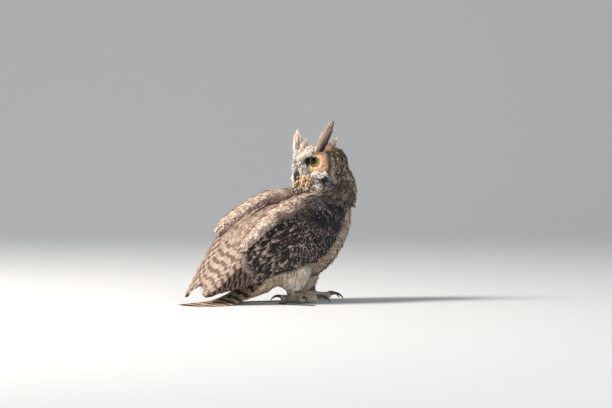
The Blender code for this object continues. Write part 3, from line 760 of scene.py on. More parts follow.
for side_name, side in SIDES.items():
    flip = np.array((1, side, 1))
    for route, reach, colour, strength in FACE_STROKES.values():
        stroke(ground, head_places, route * flip, reach, colour, strength)
    for route, reach, amount in LIFTS.values():
        stroke(lift, head_places, route * flip, reach, amount, 1)
    stroke(amounts[:, 6:8], head_places, FACE_STROKES["forehead"][0] * flip, 14, (0.15, 0.5), 1)
    for route, reach, colour, strength in BODY_STROKES.values():
        stroke(ground, body_places, route * flip, reach, colour, strength)
    flecked = (body_places[:, 1] * side > 58) & (body_places[:, 2] > 110) & (body_places[:, 0] > -80)
    for i in rng.choice(np.flatnonzero(flecked & (points[:, 2] < 238)), STREAKS, replace=False):
        streak = [body_places[i], body_places[i] + lie[i] * rng.uniform(0, 9)]
        stroke(ground, body_places, streak, rng.uniform(2.4, 4), BUFF, rng.uniform(0.5, 1))
    far, angle, flat = in_eye(points, side_name)
    edge = np.exp(-(((angle - lid_gap(flat)) / 9).clip(0) ** 2)) * (far < LID_MOUND + 3)
    lash = np.clip(flat @ (0.9, 0.5) * 2 - 0.2, 0, 1)
    ground += (edge * lash)[:, None] * (BLACK - ground)
    ground += (edge * (1 - lash) * 0.4)[:, None] * (CREAM - ground)
marks = np.minimum(marks, 0.6 * ground)  # so that they never show pale on a dark place
print("strokes:", 2 * (len(FACE_STROKES) + len(BODY_STROKES) + STREAKS))


# %% [markdown]
# ## Sinking the skin under its coat
# The skin sinks by its swelling and by the coat's depth, so that feathers laid on it end where the
# solids do. Behind each iris it dips into a socket, while feathers still grow over the lids. It
# keeps the colours, so that nothing odd shows between feathers. Its unwrap gives every feather of
# the coat a place on the map, where it grows.

# %% Sink, unwrap and colour the skin
def store(mesh, name, values):
    """An attribute of each point: four numbers are a colour, and three a vector."""
    is_colour = values.shape[1] == 4
    made = mesh.attributes.new(name, "FLOAT_COLOR" if is_colour else "FLOAT_VECTOR", "POINT")
    made.data.foreach_set("color" if is_colour else "vector", values.astype(np.float32).ravel())


def painted(mesh, paint):
    """Stores the two colours and the amounts that the markings group reads."""
    alpha = np.ones((len(paint["ground"]), 1))
    for name in ("ground", "marks"):
        store(mesh, name, np.hstack([np.clip(paint[name], 0, 1), alpha]))
    for name in ("habit", "touch"):
        store(mesh, name, paint[name])


swelling = np.array([swell_of(node) for node in FLESH])[owner]
sunk = points - normals * (amounts[:, :1] + spread(swelling, 8)[:, None])
bare = np.zeros(len(points), bool)  # over the open eye, where no feather grows
socketed = sunk.copy()
SOCKET_RADIUS, SOCKET_FRONT = 11, 1.5
for side_name, (centre, axes) in EYES.items():
    far, angle, flat = in_eye(sunk, side_name)
    bare |= (far < EYE_RADIUS + 6) & (angle < lid_gap(flat) + 2)
    local = (in_head(sunk) - centre) @ axes.T
    drawn_in = np.minimum(1, SOCKET_RADIUS / np.linalg.norm(local[:, :2], axis=1))[:, None]
    local = np.column_stack([local[:, :2] * drawn_in, np.minimum(local[:, 2], SOCKET_FRONT)])
    inside = (far < EYE_RADIUS + 5) & (angle < 62)
    socketed = np.where(inside[:, None], from_head(local @ axes + centre), socketed)
skin.data.vertices.foreach_set("co", (socketed * MM).astype(np.float32).ravel())
skin.data.update()
edit(skin, (bpy.ops.uv.smart_project, {"angle_limit": math.radians(66), "island_margin": 0.001}))
skin.data.uv_layers[0].name = "OFBake"
quads = read(skin.data.loops, "vertex_index", 1, np.int32).reshape(-1, 4)
quad_maps = read(skin.data.uv_layers["OFBake"].data, "uv", 2).reshape(-1, 4, 2)
touch = np.column_stack([np.maximum(amounts[:, 7], 0.4), np.zeros(len(points)), np.full(len(points), 0.5)])
painted(skin.data, {"ground": ground * 0.85, "marks": marks * 0.8, "habit": amounts[:, 4:7] * (1, 0.4, 0),
                    "touch": touch})  # fmt: skip
skin.data.materials.clear()
skin.data.materials.append(UNDERCOAT)
skin.data.shade_smooth()
surface = BVHTree.FromPolygons(sunk.tolist(), quads.tolist())
lie_of_quad = unit(lie[quads].mean(1))
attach(skin, "root")
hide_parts(*FLESH)
print("skin sunk by", amounts[:, 0].min().round(1), "to", amounts[:, 0].max().round(1), "mm")

# %% [markdown]
# ## Growing feathers
# A feather is a thin closed vane: a sheet a few rows long and five points wide, domed above and
# keeled below. Its middle line walks over the skin the way the coat lies, and where the skin turns
# away too sharply it carries straight on, as a stiff feather does. One whose tip would end far from
# the skin is left out. Each one starts on the skin and ends at the coat's outer face, so that it
# lies over the root of the next like a roof tile. The edges are ragged, because real barbs part
# from each other.

# %% One mesh from a sheet for each feather
PATCH = 0.003  # the size of a feather's place on the map of a coat
DOME, KEEL = 0.6, 0.4  # the shares of a vane's thickness above its sheet and below
FLOOR_GAP = 0.25


def solid_vanes(name, sheet, up, thick, paint, finish, homes=None):
    """Closed vanes from sheets of points (feathers, rows, columns), which are numbered along the
    feather and then from its right edge to its left, seen from above with the tip ahead. Homes are
    the feathers' places on the map. Without them, feathers lie there side by side as strips."""
    count, rows, columns, _ = sheet.shape
    patch = (PATCH, PATCH)
    if homes is None:
        homes = np.column_stack([(np.arange(count) + 0.5) / count, np.full(count, 0.5)])
        patch = (0.9 / count, 0.76)
    across = np.linspace(-1, 1, columns)
    dome = (thick * (1 - across**2))[None, None, :, None]
    top = sheet + up[:, :, None] * dome * DOME
    keel = sheet[:, :, columns // 2] - up * KEEL * thick
    corners = np.concatenate([top, keel[:, :, None]], 2)
    corners[..., 2] = np.maximum(corners[..., 2], FLOOR_GAP)
    grid = np.arange(rows * (columns + 1)).reshape(rows, columns + 1)
    faces = [[*grid[0]], [*grid[-1, :columns][::-1], grid[-1, columns]]]
    for here, ahead in zip(grid, grid[1:]):
        for c in range(columns - 1):
            faces.append([here[c], ahead[c], ahead[c + 1], here[c + 1]])
        faces.append([here[0], here[columns], ahead[columns], ahead[0]])
        faces.append([here[columns], here[columns - 1], ahead[columns - 1], ahead[columns]])
    sizes = np.tile([len(face) for face in faces], count)
    starts = np.arange(count)[:, None] * grid.size
    corners_of_faces = (starts + np.concatenate(faces)[None]).ravel()
    mesh = bpy.data.meshes.new(name)
    mesh.vertices.add(count * grid.size)
    mesh.vertices.foreach_set("co", (corners * MM).astype(np.float32).ravel())
    mesh.loops.add(len(corners_of_faces))
    mesh.loops.foreach_set("vertex_index", corners_of_faces.astype(np.int32))
    mesh.polygons.add(len(sizes))
    mesh.polygons.foreach_set("loop_start", (np.cumsum(sizes) - sizes).astype(np.int32))
    along = np.linspace(0, 1, rows)[:, None] * np.ones(columns + 1)
    wide = np.append((across + 1) / 2, 0.5) * np.ones((rows, 1))
    vane = np.stack([wide, along], -1).reshape(-1, 2)
    spot = np.stack([wide, along], -1)
    spot[:, -1, 1] = spot[:, -1, 1] * 1.3 - 0.15
    spot = (spot.reshape(-1, 2) - 0.5) * patch
    layers = {"Vane": np.tile(vane, (count, 1)), "OFBake": (homes[:, None] + spot).reshape(-1, 2)}
    for label, places in layers.items():
        layer = mesh.uv_layers.new(name=label)
        layer.data.foreach_set("uv", places[corners_of_faces].astype(np.float32).ravel())
    painted(mesh, {
        key: np.repeat(values.reshape(-1, 3), grid.size if values.ndim == 2 else columns + 1, axis=0)
        for key, values in paint.items()
    })
    mesh.update(calc_edges=True)
    mesh.shade_smooth()
    mesh.set_sharp_from_angle(angle=math.radians(50))
    mesh.materials.append(finish)
    piece = bpy.data.objects.new(name, mesh)
    bpy.context.collection.objects.link(piece)
    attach(piece, "root")
    triangles = sum(len(face) - 2 for face in faces) * count
    print(f"{name}: {count} feathers, {triangles} triangles")
    return piece


def spaced_out(homes):
    """Places on a map, stretched so that they fill it from edge to edge."""
    low, high = homes.min(0), homes.max(0)
    edge = 0.7 * PATCH
    return edge + (homes - low) / np.maximum(high - low, 1e-9) * (1 - 2 * edge)


# %% Roots: evenly spaced, closer together where feathers are small
TRIES = 5  # places tried for each root there is room for


def find_roots():
    triangles = np.concatenate([quads[:, [0, 1, 2]], quads[:, [0, 2, 3]]])
    maps = np.concatenate([quad_maps[:, [0, 1, 2]], quad_maps[:, [0, 2, 3]]])
    a, b, c = sunk[triangles].transpose(1, 0, 2)
    facing = np.cross(b - a, c - a)
    area = np.linalg.norm(facing, axis=1) / 2
    chance = area / amounts[triangles, 3].mean(1) ** 2
    centre = (a + b + c) / 3
    soles = (centre[:, 2] < 3) & (facing[:, 2] < 0)
    chance[bare[triangles].any(1) | soles] = 0
    count = int(TRIES * chance.sum())
    picked = rng.choice(len(triangles), count, p=chance / chance.sum())
    share = rng.random((count, 2))
    share = np.where(share.sum(1, keepdims=True) > 1, 1 - share, share)
    weights = np.column_stack([1 - share.sum(1), share])[..., None]

    def at_root(values):
        return (values[triangles[picked]] * weights).sum(1)

    found = {
        "place": at_root(sunk),
        "up": unit(facing[picked]),
        "lie": at_root(lie),
        "amounts": at_root(amounts),
        "marks": at_root(marks),
        "lift": at_root(lift)[:, 0],
        "kind": kind[triangles[picked, 0]],
        "map": (maps[picked] * weights).sum(1),
    }
    gaps = found["amounts"][:, 3]
    near = KDTree(count)
    for i, place in enumerate(found["place"]):
        near.insert(place, i)
    near.balance()
    kept = np.ones(count, bool)
    for i, (place, gap) in enumerate(zip(found["place"], gaps)):
        if kept[i]:
            for _, j, _ in near.find_range(place, gap):
                if j > i:
                    kept[j] = False
    return {key: values[kept] for key, values in found.items()}


roots = find_roots()
print("roots:", {name: int((roots["kind"] == i).sum()) for i, name in enumerate(NAMES)})


# %% Walk over the skin, and spread a sheet along the way
MOST_TURN = math.radians(17)  # from one row of a vane to the next
HOLD = 2.5  # mm from the skin at which a vane stops following it


def walk(place, up, way, length, rows):
    """The middle lines of feathers: their places, ways and ups, row by row, and the quads under them."""
    at, way = place, along_surface(way, up)
    places, ways, ups = [at], [way], [up]
    under = [np.array([surface.find_nearest(Vector(point))[2] for point in at])]
    step = (length / (rows - 1))[:, None]
    limit = math.cos(MOST_TURN), math.sin(MOST_TURN)
    for _ in range(rows - 1):
        ahead = at + way * step
        hits = [surface.find_nearest(Vector(point)) for point in ahead]
        on = np.array([hit[0] for hit in hits])
        facing = np.array([hit[1] for hit in hits])
        wanted = unit(on - at)
        cosine = (wanted * way).sum(1, keepdims=True)
        turned_way = unit(way * limit[0] + unit(wanted - cosine * way) * limit[1])
        turned = np.where(cosine < limit[0], turned_way, wanted)
        at = at + turned * step
        off = np.linalg.norm(on - at, axis=1, keepdims=True)
        held = np.exp(-((off / HOLD) ** 2))
        up = along_surface(facing * held + up * (1 - held), turned)
        flow = along_surface(lie_of_quad[[hit[2] for hit in hits]], up)
        way = unit(turned + 0.7 * held * flow)
        places.append(at)
        ways.append(turned)
        ups.append(up)
        under.append(np.array([hit[2] for hit in hits]))
    return (np.stack(values, 1) for values in (places, ways, ups, under))


def outline(along, fullest, roundness):
    """The share of its full width that a vane has, from root to tip."""
    return 0.14 + 0.86 * np.sin(math.pi * np.clip(along, 0, 1) ** fullest) ** roundness


SWEEP, CAMBER = 0.2, 0.1  # how far the edges reach ahead of the middle, and how far they drop


def sheets(places, ways, ups, length, width, height, columns=5, fullest=1.35, roundness=0.62, ragged=0.16):
    """Sheets of points for vanes along these middle lines. Height is given the shares along them."""
    count, rows, _ = places.shape
    along = np.linspace(0, 1, rows)
    across = np.linspace(-1, 1, columns)
    lefts = np.cross(ups, ways)
    half = width[:, None] / 2 * outline(along, fullest, roundness)[None]
    torn = rng.normal(0, ragged, (count, rows, columns)) * (0.3 + along[None, :, None])
    torn[:, 0] = 0
    roll = rng.normal(0, 0.06, (count, 1, 1))
    sideways = half[..., None] * across * (1 + torn * np.abs(across))
    swept = SWEEP * np.abs(across) * np.sin(math.pi * along)[None, :, None]
    forward = width[:, None, None] * (swept + 0.35 * torn)
    forward[:, -1] -= (length * 0.05)[:, None] * across**2
    raised = height(along) + roll * sideways - CAMBER * half[..., None] * across**2
    return (places[:, :, None] + lefts[:, :, None] * sideways[..., None]
            + ways[:, :, None] * forward[..., None] + ups[:, :, None] * raised[..., None])


# %% What a feather of the coat needs
MOST_OFF = 10  # how far from the skin a feather may end


def laid(feathers, rows):
    """Feathers with their sizes drawn and their middle lines walked, but not those that end far off."""
    count = len(feathers["place"])
    depth, length, width = feathers["amounts"][:, :3].T
    length = length * rng.normal(1, 0.13, count).clip(0.7, 1.35)
    width = width * rng.normal(1, 0.1, count).clip(0.75, 1.3)
    jitter = rng.normal(0, 0.13, (count, 3))
    length = length * (1 + 0.35 * feathers["lift"])
    walked = walk(feathers["place"], feathers["up"], feathers["lie"] + jitter, length, rows)
    found = {**feathers, **dict(zip(("places", "ways", "ups", "under"), walked))}
    found |= {"depth": depth, "length": length, "width": width}
    off = [surface.find_nearest(Vector(point))[3] for point in found["places"][:, -1]]
    return {key: values[np.array(off) < MOST_OFF] for key, values in found.items()}


def rising(feathers, ragged):
    """Sheets that start on the skin and end at the coat's outer face, or higher where lift says so."""
    count = len(feathers["depth"])
    share = rng.normal(0.92, 0.16, count) + feathers["lift"] * rng.uniform(0.4, 1.2, count)
    top = (feathers["depth"] * share)[:, None, None]
    lines = (feathers[key] for key in ("places", "ways", "ups", "length", "width"))
    return sheets(*lines, lambda along: 0.2 + top * along[None, :, None] ** 0.85, ragged=ragged)


def coat_paint(feathers, exact):
    """Colours and amounts. Where exact is 1 the colours are those of the skin under each row."""
    count = len(feathers["under"])
    shade = rng.normal(1, 0.12, (count, 1)).clip(0.65, 1.35)
    touch = np.column_stack([feathers["amounts"][:, 7:9], rng.random(count)])
    touch[:, 1] = (touch[:, 1] * rng.uniform(0.3, 1.5, count)).clip(0, 1)
    here = ground[quads[feathers["under"]]].mean(2)
    here = exact * here + (1 - exact) * here[:, [here.shape[1] * 2 // 3]]
    usual, _, other, often = (np.array(column)[feathers["kind"]] for column in zip(*COLOURS.values()))
    # A stroke's colour is far from the usual one, and feathers there don't change theirs.
    plain = np.exp(-((np.linalg.norm(here.mean(1) - usual, axis=1) / 0.4) ** 2))
    swap = (rng.random(count) < often) * rng.uniform(0.5, 1, count) * plain
    here = here + (other[:, None] - here) * swap[:, None, None]
    habit = feathers["amounts"][:, 4:7] * rng.normal(1, 0.15, (count, 3)).clip(0.5, 1.5)
    return {
        "ground": here * shade[:, None],
        "marks": feathers["marks"] * shade,
        "habit": habit,
        "touch": touch,
    }


# %% The coat, in pieces
COAT = {  # kinds, rows in a vane, thickness, raggedness, how exact its colours are, finish, slot
    "coat_face": (("face",), 4, 0.3, 0.2, 0.9, FACE, "face_feather"),
    "coat_crown": (("crown",), 5, 0.35, 0.2, 0.9, FACE, "face_feather"),
    "coat_neck": (("neck",), 6, 0.4, 0.22, 0.7, MOTTLED, "mottled_feather"),
    "coat_back": (("mantle", "scapulars"), 8, 0.5, 0.22, 0.85, MOTTLED, "mottled_feather"),
    "coat_wings": (("coverts",), 8, 0.5, 0.16, 0.85, MOTTLED, "mottled_feather"),
    "coat_breast": (("breast",), 8, 0.45, 0.2, 0.3, BREAST, "breast_feather"),
    "coat_belly": (("belly",), 9, 0.45, 0.3, 0.3, BREAST, "breast_feather"),
    "coat_vent": (("vent",), 9, 0.45, 0.3, 0.3, LEG, "leg_feather"),
    "coat_legs": (("thigh", "foot"), 6, 0.4, 0.26, 0.3, LEG, "leg_feather"),
}
for name, (kinds, rows, thick, ragged, exact, finish, slot) in COAT.items():
    mine = np.isin(roots["kind"], [NAMES.index(k) for k in kinds])
    feathers = laid({key: values[mine] for key, values in roots.items()}, rows)
    sheet = rising(feathers, ragged)
    paint = coat_paint(feathers, exact)
    solid_vanes(name, sheet, feathers["ups"], thick, paint, finish, spaced_out(feathers["map"]))

# %% [markdown]
# ## Wings and tail
# Flight feathers are long, stiff vanes that lie side by side, each one's lower edge over the next.
# They are laid straight on the formula of the folded wing that the solids came from, tilted a
# little so that they overlap without cutting into each other. Rows of coverts cover their bases,
# and every row's own roots sink under the coat, which hides them.

# %% A row of long feathers over the folded wing
def blade(along):
    """The share of its full width that a flight feather has: parallel edges and a round tip."""
    tip = np.clip((along - 0.76) / 0.24, 0, 1)
    return np.clip(along / 0.12, 0.15, 1) ** 0.5 * np.sqrt(1 - 0.96 * tip**2)


def ups_of(sheet):
    """The way up from the middle line of each sheet, row by row."""
    ways = np.gradient(sheet[:, :, sheet.shape[2] // 2], axis=1)
    return unit(np.cross(unit(ways), sheet[:, :, -1] - sheet[:, :, 0]))


TILT, MOST_LEAN = 0.6, 0.16  # mm from one feather to the next, and the steepest lean
ROOT_SINK, SINK_OVER = 4.5, 0.35  # mm at the root, and the share of the feather that sinks


def wing_row(side_name, places, starts, stops, width, depth, rows, ragged):
    """One feather for each of the places across the wing, from its start to its stop along it."""
    count, columns = len(places), 7
    along = np.linspace(0, 1, rows)[None, :, None]
    across = np.linspace(-1, 1, columns)[None, None]
    span = (stops - starts)[:, None, None]
    reach = starts[:, None, None] + span * along
    middle_line = places[:, None, None]
    above, below = (wing_surface(side_name, reach, middle_line + step) for step in (0.03, -0.03))
    girth = np.linalg.norm(above - below, axis=-1) / 0.06
    torn = 1 + rng.normal(0, ragged, (count, rows, columns)) * np.abs(across) * (0.2 + along)
    sideways = width / 2 * blade(along) * across * torn
    gap = girth * np.abs(np.median(np.diff(np.sort(places))))
    lean = np.clip(TILT / np.maximum(gap, 1), 0, MOST_LEAN)
    sunk_by = depth - lean * sideways + 0.06 * np.abs(sideways) + rng.normal(0, 0.15, (count, 1, 1))
    sunk_by = sunk_by + ROOT_SINK * np.clip(1 - along / SINK_OVER, 0, 1)
    reach = reach + 0.03 * (1 - np.abs(across)) * along**3 * span
    sheet = wing_surface(side_name, reach, np.clip(middle_line + sideways / girth, -0.02, 1.03), sunk_by)
    return sheet[:, :, ::-1] if SIDES[side_name] > 0 else sheet


def wing_paint(under, grounds, marks, habits):
    """Colours and amounts, from those over the crease to those under it."""
    shade = rng.normal(1, 0.1, (len(under), 1)).clip(0.75, 1.25)
    colour, dark, amount = (
        np.array(pair[0]) * (1 - under) + np.array(pair[1]) * under for pair in (grounds, marks, habits))
    return {
        "ground": colour * shade,
        "marks": dark * shade,
        "habit": amount[:, :3],
        "touch": np.column_stack([amount[:, 3:], rng.random(len(under))]),
    }


# %% Flight feathers and rows of coverts
SUNLIT, SHADED, DUSTY = srgb(184, 162, 146), srgb(130, 106, 92), srgb(192, 166, 150)
BROWN, BLACKISH = srgb(92, 70, 58), srgb(38, 33, 34)
WING_ROWS = {  # count, from and to across; start along, and stops at the top, crease and bottom;
    # width, depth, rows; raggedness, looseness; where across its side begins, and the side's colour;
    # bars, and amounts of bar, streak, mottling and pale tip, on its top and on its side
    "flights": (17, 0.03, 0.97, 0.42, (0.94, 1.0, 0.66), 27, 2.6, 16, 0.03, 0.008, 0.34, SHADED,
                ((14, 0.85, 0.1, 0.3, 0.15), (19, 1.0, 0.1, 0.3, 0.0))),
    "greater_coverts": (21, 0.02, 0.98, 0.52, (0.74, 0.77, 0.64), 20, 1.6, 10, 0.1, 0.015, 0.14, DUSTY,
                        ((4, 0.5, 0.1, 0.6, 0.5), (3.5, 1.0, 0.6, 0.95, 0.6))),
    "median_coverts": (25, 0.02, 0.98, 0.46, (0.63, 0.66, 0.57), 16, 0.9, 9, 0.16, 0.02, 0.14, DUSTY,
                       ((3, 0.5, 0.1, 0.7, 0.5), (2.2, 1.0, 0.9, 1.0, 0.8))),
}  # fmt: skip
for side_name in SIDES:
    for name, row in WING_ROWS.items():
        count, low, high, start, stops, width, depth, rows, ragged, loose, side_from, colour, habits = row
        places = np.linspace(low, high, count) + rng.normal(0, 0.004, count)
        stop = np.interp(places, (0, CREASE, 1), stops) + rng.normal(0, loose, count)
        starts = np.full(count, start) + rng.normal(0, 0.01, count)
        sheet = wing_row(side_name, places, starts, stop, width, depth, rows, ragged)
        under = np.clip((places - side_from) / 0.15, 0, 1)[:, None]
        paint = wing_paint(under, (SUNLIT, colour), (BROWN, BLACKISH), habits)
        piece = solid_vanes(
            f"{name}_{side_name}", sheet, ups_of(sheet), 0.5, paint, BARRED)
        if name == "flights":
            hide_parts(f"wing_{side_name}_secondaries", f"wing_{side_name}_primaries")

# %% Tail
# x, z under, half width, thickness
TAIL = np.array([
    (-92, 62, 24, 20), (-130, 36, 32, 17), (-168, 14, 40, 13), (-205, 2.5, 48, 9), (-235, 0, 55, 6.5),
    (-272, 0, 62, 4.5),
])  # fmt: skip
TAIL_LAST_ROUND = 26


def tail_surface(along, across, level):
    """Points of the tail: along it, across from -1 to 1, and level from its underside to its top."""
    x, under, half, thick = np.moveaxis(between(TAIL, along), -1, 0)
    bow = np.clip(1 - across**2, 0, 1)
    low = np.maximum(under, 0) + 3 * bow * (1 - along) + 0.4
    high = np.maximum(under, 0) + 5 * bow * (1 - along) + thick * (0.3 + 0.7 * np.sqrt(bow))
    back = x - TAIL_LAST_ROUND * bow * along**3
    return np.stack([back, across * half, low + (high - low) * level], -1) + ORIGIN


count, rows, columns = 12, 16, 7
order = np.arange(count) - (count - 1) / 2
along = np.linspace(0.05, 1, rows)[None, :, None]
across = np.linspace(-1, 1, columns)[None, None]
half_width = 14 * blade(np.linspace(0, 1, rows))[None, :, None]
half_tail = between(TAIL, along)[..., 2]
centre = (order / 5.5 * 0.8)[:, None, None]
torn = 1 + rng.normal(0, 0.03, (count, rows, columns)) * np.abs(across)
sideways = centre + half_width / half_tail * across * torn
outer = np.abs(order)[:, None, None] / 5.5
level = 0.86 - 0.66 * outer - 0.05 * np.sign(order)[:, None, None] * across
stop = along - 0.02 * outer + 0.015 * (1 - across**2) * along**4 + rng.normal(0, 0.006, (count, 1, 1)) * along
sheet = tail_surface(stop, np.clip(sideways, -1, 1), level)[:, :, ::-1]
shade = rng.normal(1, 0.07, (count, 1))
paint = {"ground": srgb(214, 178, 146) * shade, "marks": srgb(58, 50, 48) * shade,
         "habit": np.tile((9, 0.95, 0.05), (count, 1)),
         "touch": np.column_stack([np.tile((0.4, 0.0), (count, 1)), rng.random(count) * 0.15])}  # fmt: skip
tail = solid_vanes("tail_feathers", sheet, ups_of(sheet), 0.5, paint, BARRED)
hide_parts("tail")

# %% [markdown]
# ## Ear tufts, brow, beard and whiskers
# The tufts aren't ears but bunches of long feathers. Each is a fan of narrow vanes with shorter
# bunches behind it, and the left fan is dark at its rear. Short feathers stand out in a brow over
# the eyes and beside the bill, and in a beard below, and stiff whiskers hide the bill's base.

# %% Feathers that stand free of the coat
def standing(name, routes, facing, length, width, thick, paint, **shape):
    """Vanes along routes (feathers, rows, 3), turned so that their upper sides look these ways."""
    ways = unit(np.gradient(routes, axis=1))
    ups = along_surface(np.broadcast_to(facing[:, None], ways.shape), ways)
    sheet = sheets(routes, ways, ups, length, width, lambda along: np.zeros((1, len(along), 1)), **shape)
    return solid_vanes(name, sheet, ups, thick, paint, FACE)


def plain_paint(ground, marks, habit, touch):
    """The same marks and amounts for a bunch of feathers, with a seed of its own for each."""
    count = len(ground)
    return {
        "ground": ground,
        "marks": np.tile(marks, (count, 1)),
        "habit": np.tile(habit, (count, 1)),
        "touch": np.column_stack([np.tile(touch, (count, 1)), rng.random(count)]),
    }


# %% Ear tufts
PALE, BLUSH = srgb(250, 230, 212), srgb(212, 184, 170)
TAN, UMBER, ROSE = srgb(234, 172, 116), srgb(60, 49, 46), srgb(204, 174, 158)
TUFTS = {  # root, its half spread, tip, its half spread, count, width; then the colours of root and
    # tip, in front and at the rear
    "left": [
        ((22, 37, 38), 12.5, (-3, 56, 97), 5, 24, 9.5, (BLUSH, BLUSH), (UMBER, ROSE * 0.45)),
        ((6, 40, 35), 4, (-25, 46, 61), 1.5, 8, 7, (TAN, PALE), (TAN, PALE)),
        ((8, 39, 36), 5, (-12, 46, 57), 4, 9, 5, (TAN, PALE), (TAN, PALE)),
        ((3, 41, 36), 7, (-11, 45, 46), 7, 9, 6, (TAN, PALE), (TAN, TAN)),
        ((0, 40, 33), 4, (-31, 45, 31), 3.5, 7, 6, (TAN, UMBER), (TAN, UMBER)),
    ],
    # The right fan is painted pale and unmarked all over: partly its buff inner side and partly painted
    # sunlight on it.
    "right": [
        ((24, -38, 36), 14, (15, -47, 82), 2, 19, 6.5, (PALE, PALE), (PALE, PALE)),
        ((16, -36, 36), 6, (3, -33, 61), 2, 8, 5, (PALE, PALE), (TAN, PALE)),
        ((12, -36, 34), 9, (7, -36, 58), 8, 11, 5, (PALE, PALE), (PALE, PALE)),
        ((0, -40, 33), 4, (-28, -45, 33), 3.5, 5, 7, (TAN, UMBER), (UMBER, UMBER)),
    ],
}
TUFT_ROWS = 8
share = np.linspace(-0.1, 1, TUFT_ROWS)[:, None]  # the roots are under the skin
for side_name, bunches in TUFTS.items():
    side = SIDES[side_name]
    routes, widths, lengths, grounds, darker = [], [], [], [], []
    for root, root_half, tip, tip_half, count, width, front, rear in bunches:
        root, tip = np.array(root, float), np.array(tip, float)
        for k in np.linspace(1, -1, count):
            shorter = 1 - (0.16 if side > 0 else 0.36) * abs(k) ** 1.5 * rng.uniform(0.5, 1.3)
            along = share * shorter
            aside = k * (root_half * (1 - along) + tip_half * along) + rng.normal(0, 0.8) * along
            bow = 12 * along * (1 - along)
            off = np.column_stack([aside + bow, np.full(TUFT_ROWS, rng.normal(0, 1.1)), np.zeros(TUFT_ROWS)])
            routes.append(from_head(root + (tip - root) * along + off))
            widths.append(width * rng.uniform(0.8, 1.15))
            lengths.append(np.linalg.norm(tip - root))
            mix = np.clip(0.68 - k * 0.75 + rng.normal(0, 0.12), 0, 1)
            ends = [front[i] * (1 - mix) + rear[i] * mix for i in (0, 1)]
            if root_half > 9 and side > 0:  # the big fan: dark roots, and rosy tips in its middle
                dusk = ROSE * (1 - abs(mix - 0.45)) + 0.25 * ends[1]
                tip_colour = dusk if abs(mix - 0.45) < 0.3 else ends[1]
                ends = [UMBER * 0.8 if mix > 0.25 else ends[0], tip_colour]
            shade = along.clip(0, 1) ** 0.7
            grounds.append(ends[0] * (1 - shade) + ends[1] * shade)
            # Only the left fan gets marks; the right fan's plain pale is partly painted sunlight.
            darker.append(mix * (side > 0))
    turned = rng.normal((0.8, 0.6, 0.1), (0.25, 0.2, 0.05), (len(routes), 3))
    facing = (from_head(turned) - HEAD_AT) * side
    paint = plain_paint(np.array(grounds), UMBER, (5, 0.1, 0), (0, 0))
    paint["habit"][:, 2] = 0.15 + 0.6 * np.array(darker)
    paint["touch"][:, 0] = 0.25 + 0.5 * np.array(darker)
    sizes = np.array(lengths), np.array(widths), 0.5
    piece = standing(f"ear_tuft_feathers_{side_name}", np.array(routes), facing, *sizes, paint,
                     ragged=0.2, fullest=1.3, roundness=0.7)  # fmt: skip
    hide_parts(f"ear_tuft_{side_name}")

# %% Brow and beard
DROOP = np.array((0, 0, -0.22))


def bristles(name, roots_at, ways_to, length, colours, facing):
    """Short feathers in the head's axes that stick out from lines of roots, and droop a little."""
    count = len(roots_at)
    share = np.linspace(0, 1, 6)[None, :, None]
    away = unit(ways_to + rng.normal(0, 0.12, (count, 3)))
    reach = length * rng.normal(1, 0.16, count).clip(0.6, 1.4)
    routes = roots_at[:, None] + (away[:, None] * share + DROOP * share**2) * reach[:, None, None]
    shade = rng.normal(1, 0.1, (count, 1)).clip(0.7, 1.15)
    paint = plain_paint(colours * shade, UMBER, (1, 0, 0.25), (0.2, 0))
    width = 2.6 * rng.uniform(0.7, 1.2, count)
    facings = np.tile(from_head(facing) - HEAD_AT, (count, 1))
    standing(name, from_head(routes), facings, reach, width, 0.35, paint, fullest=0.9, roundness=0.75)


def along_line(line, count, loose):
    """Random places along a line, scattered round it."""
    return between(line, rng.random(count)) + rng.normal(0, loose, (count, 3))


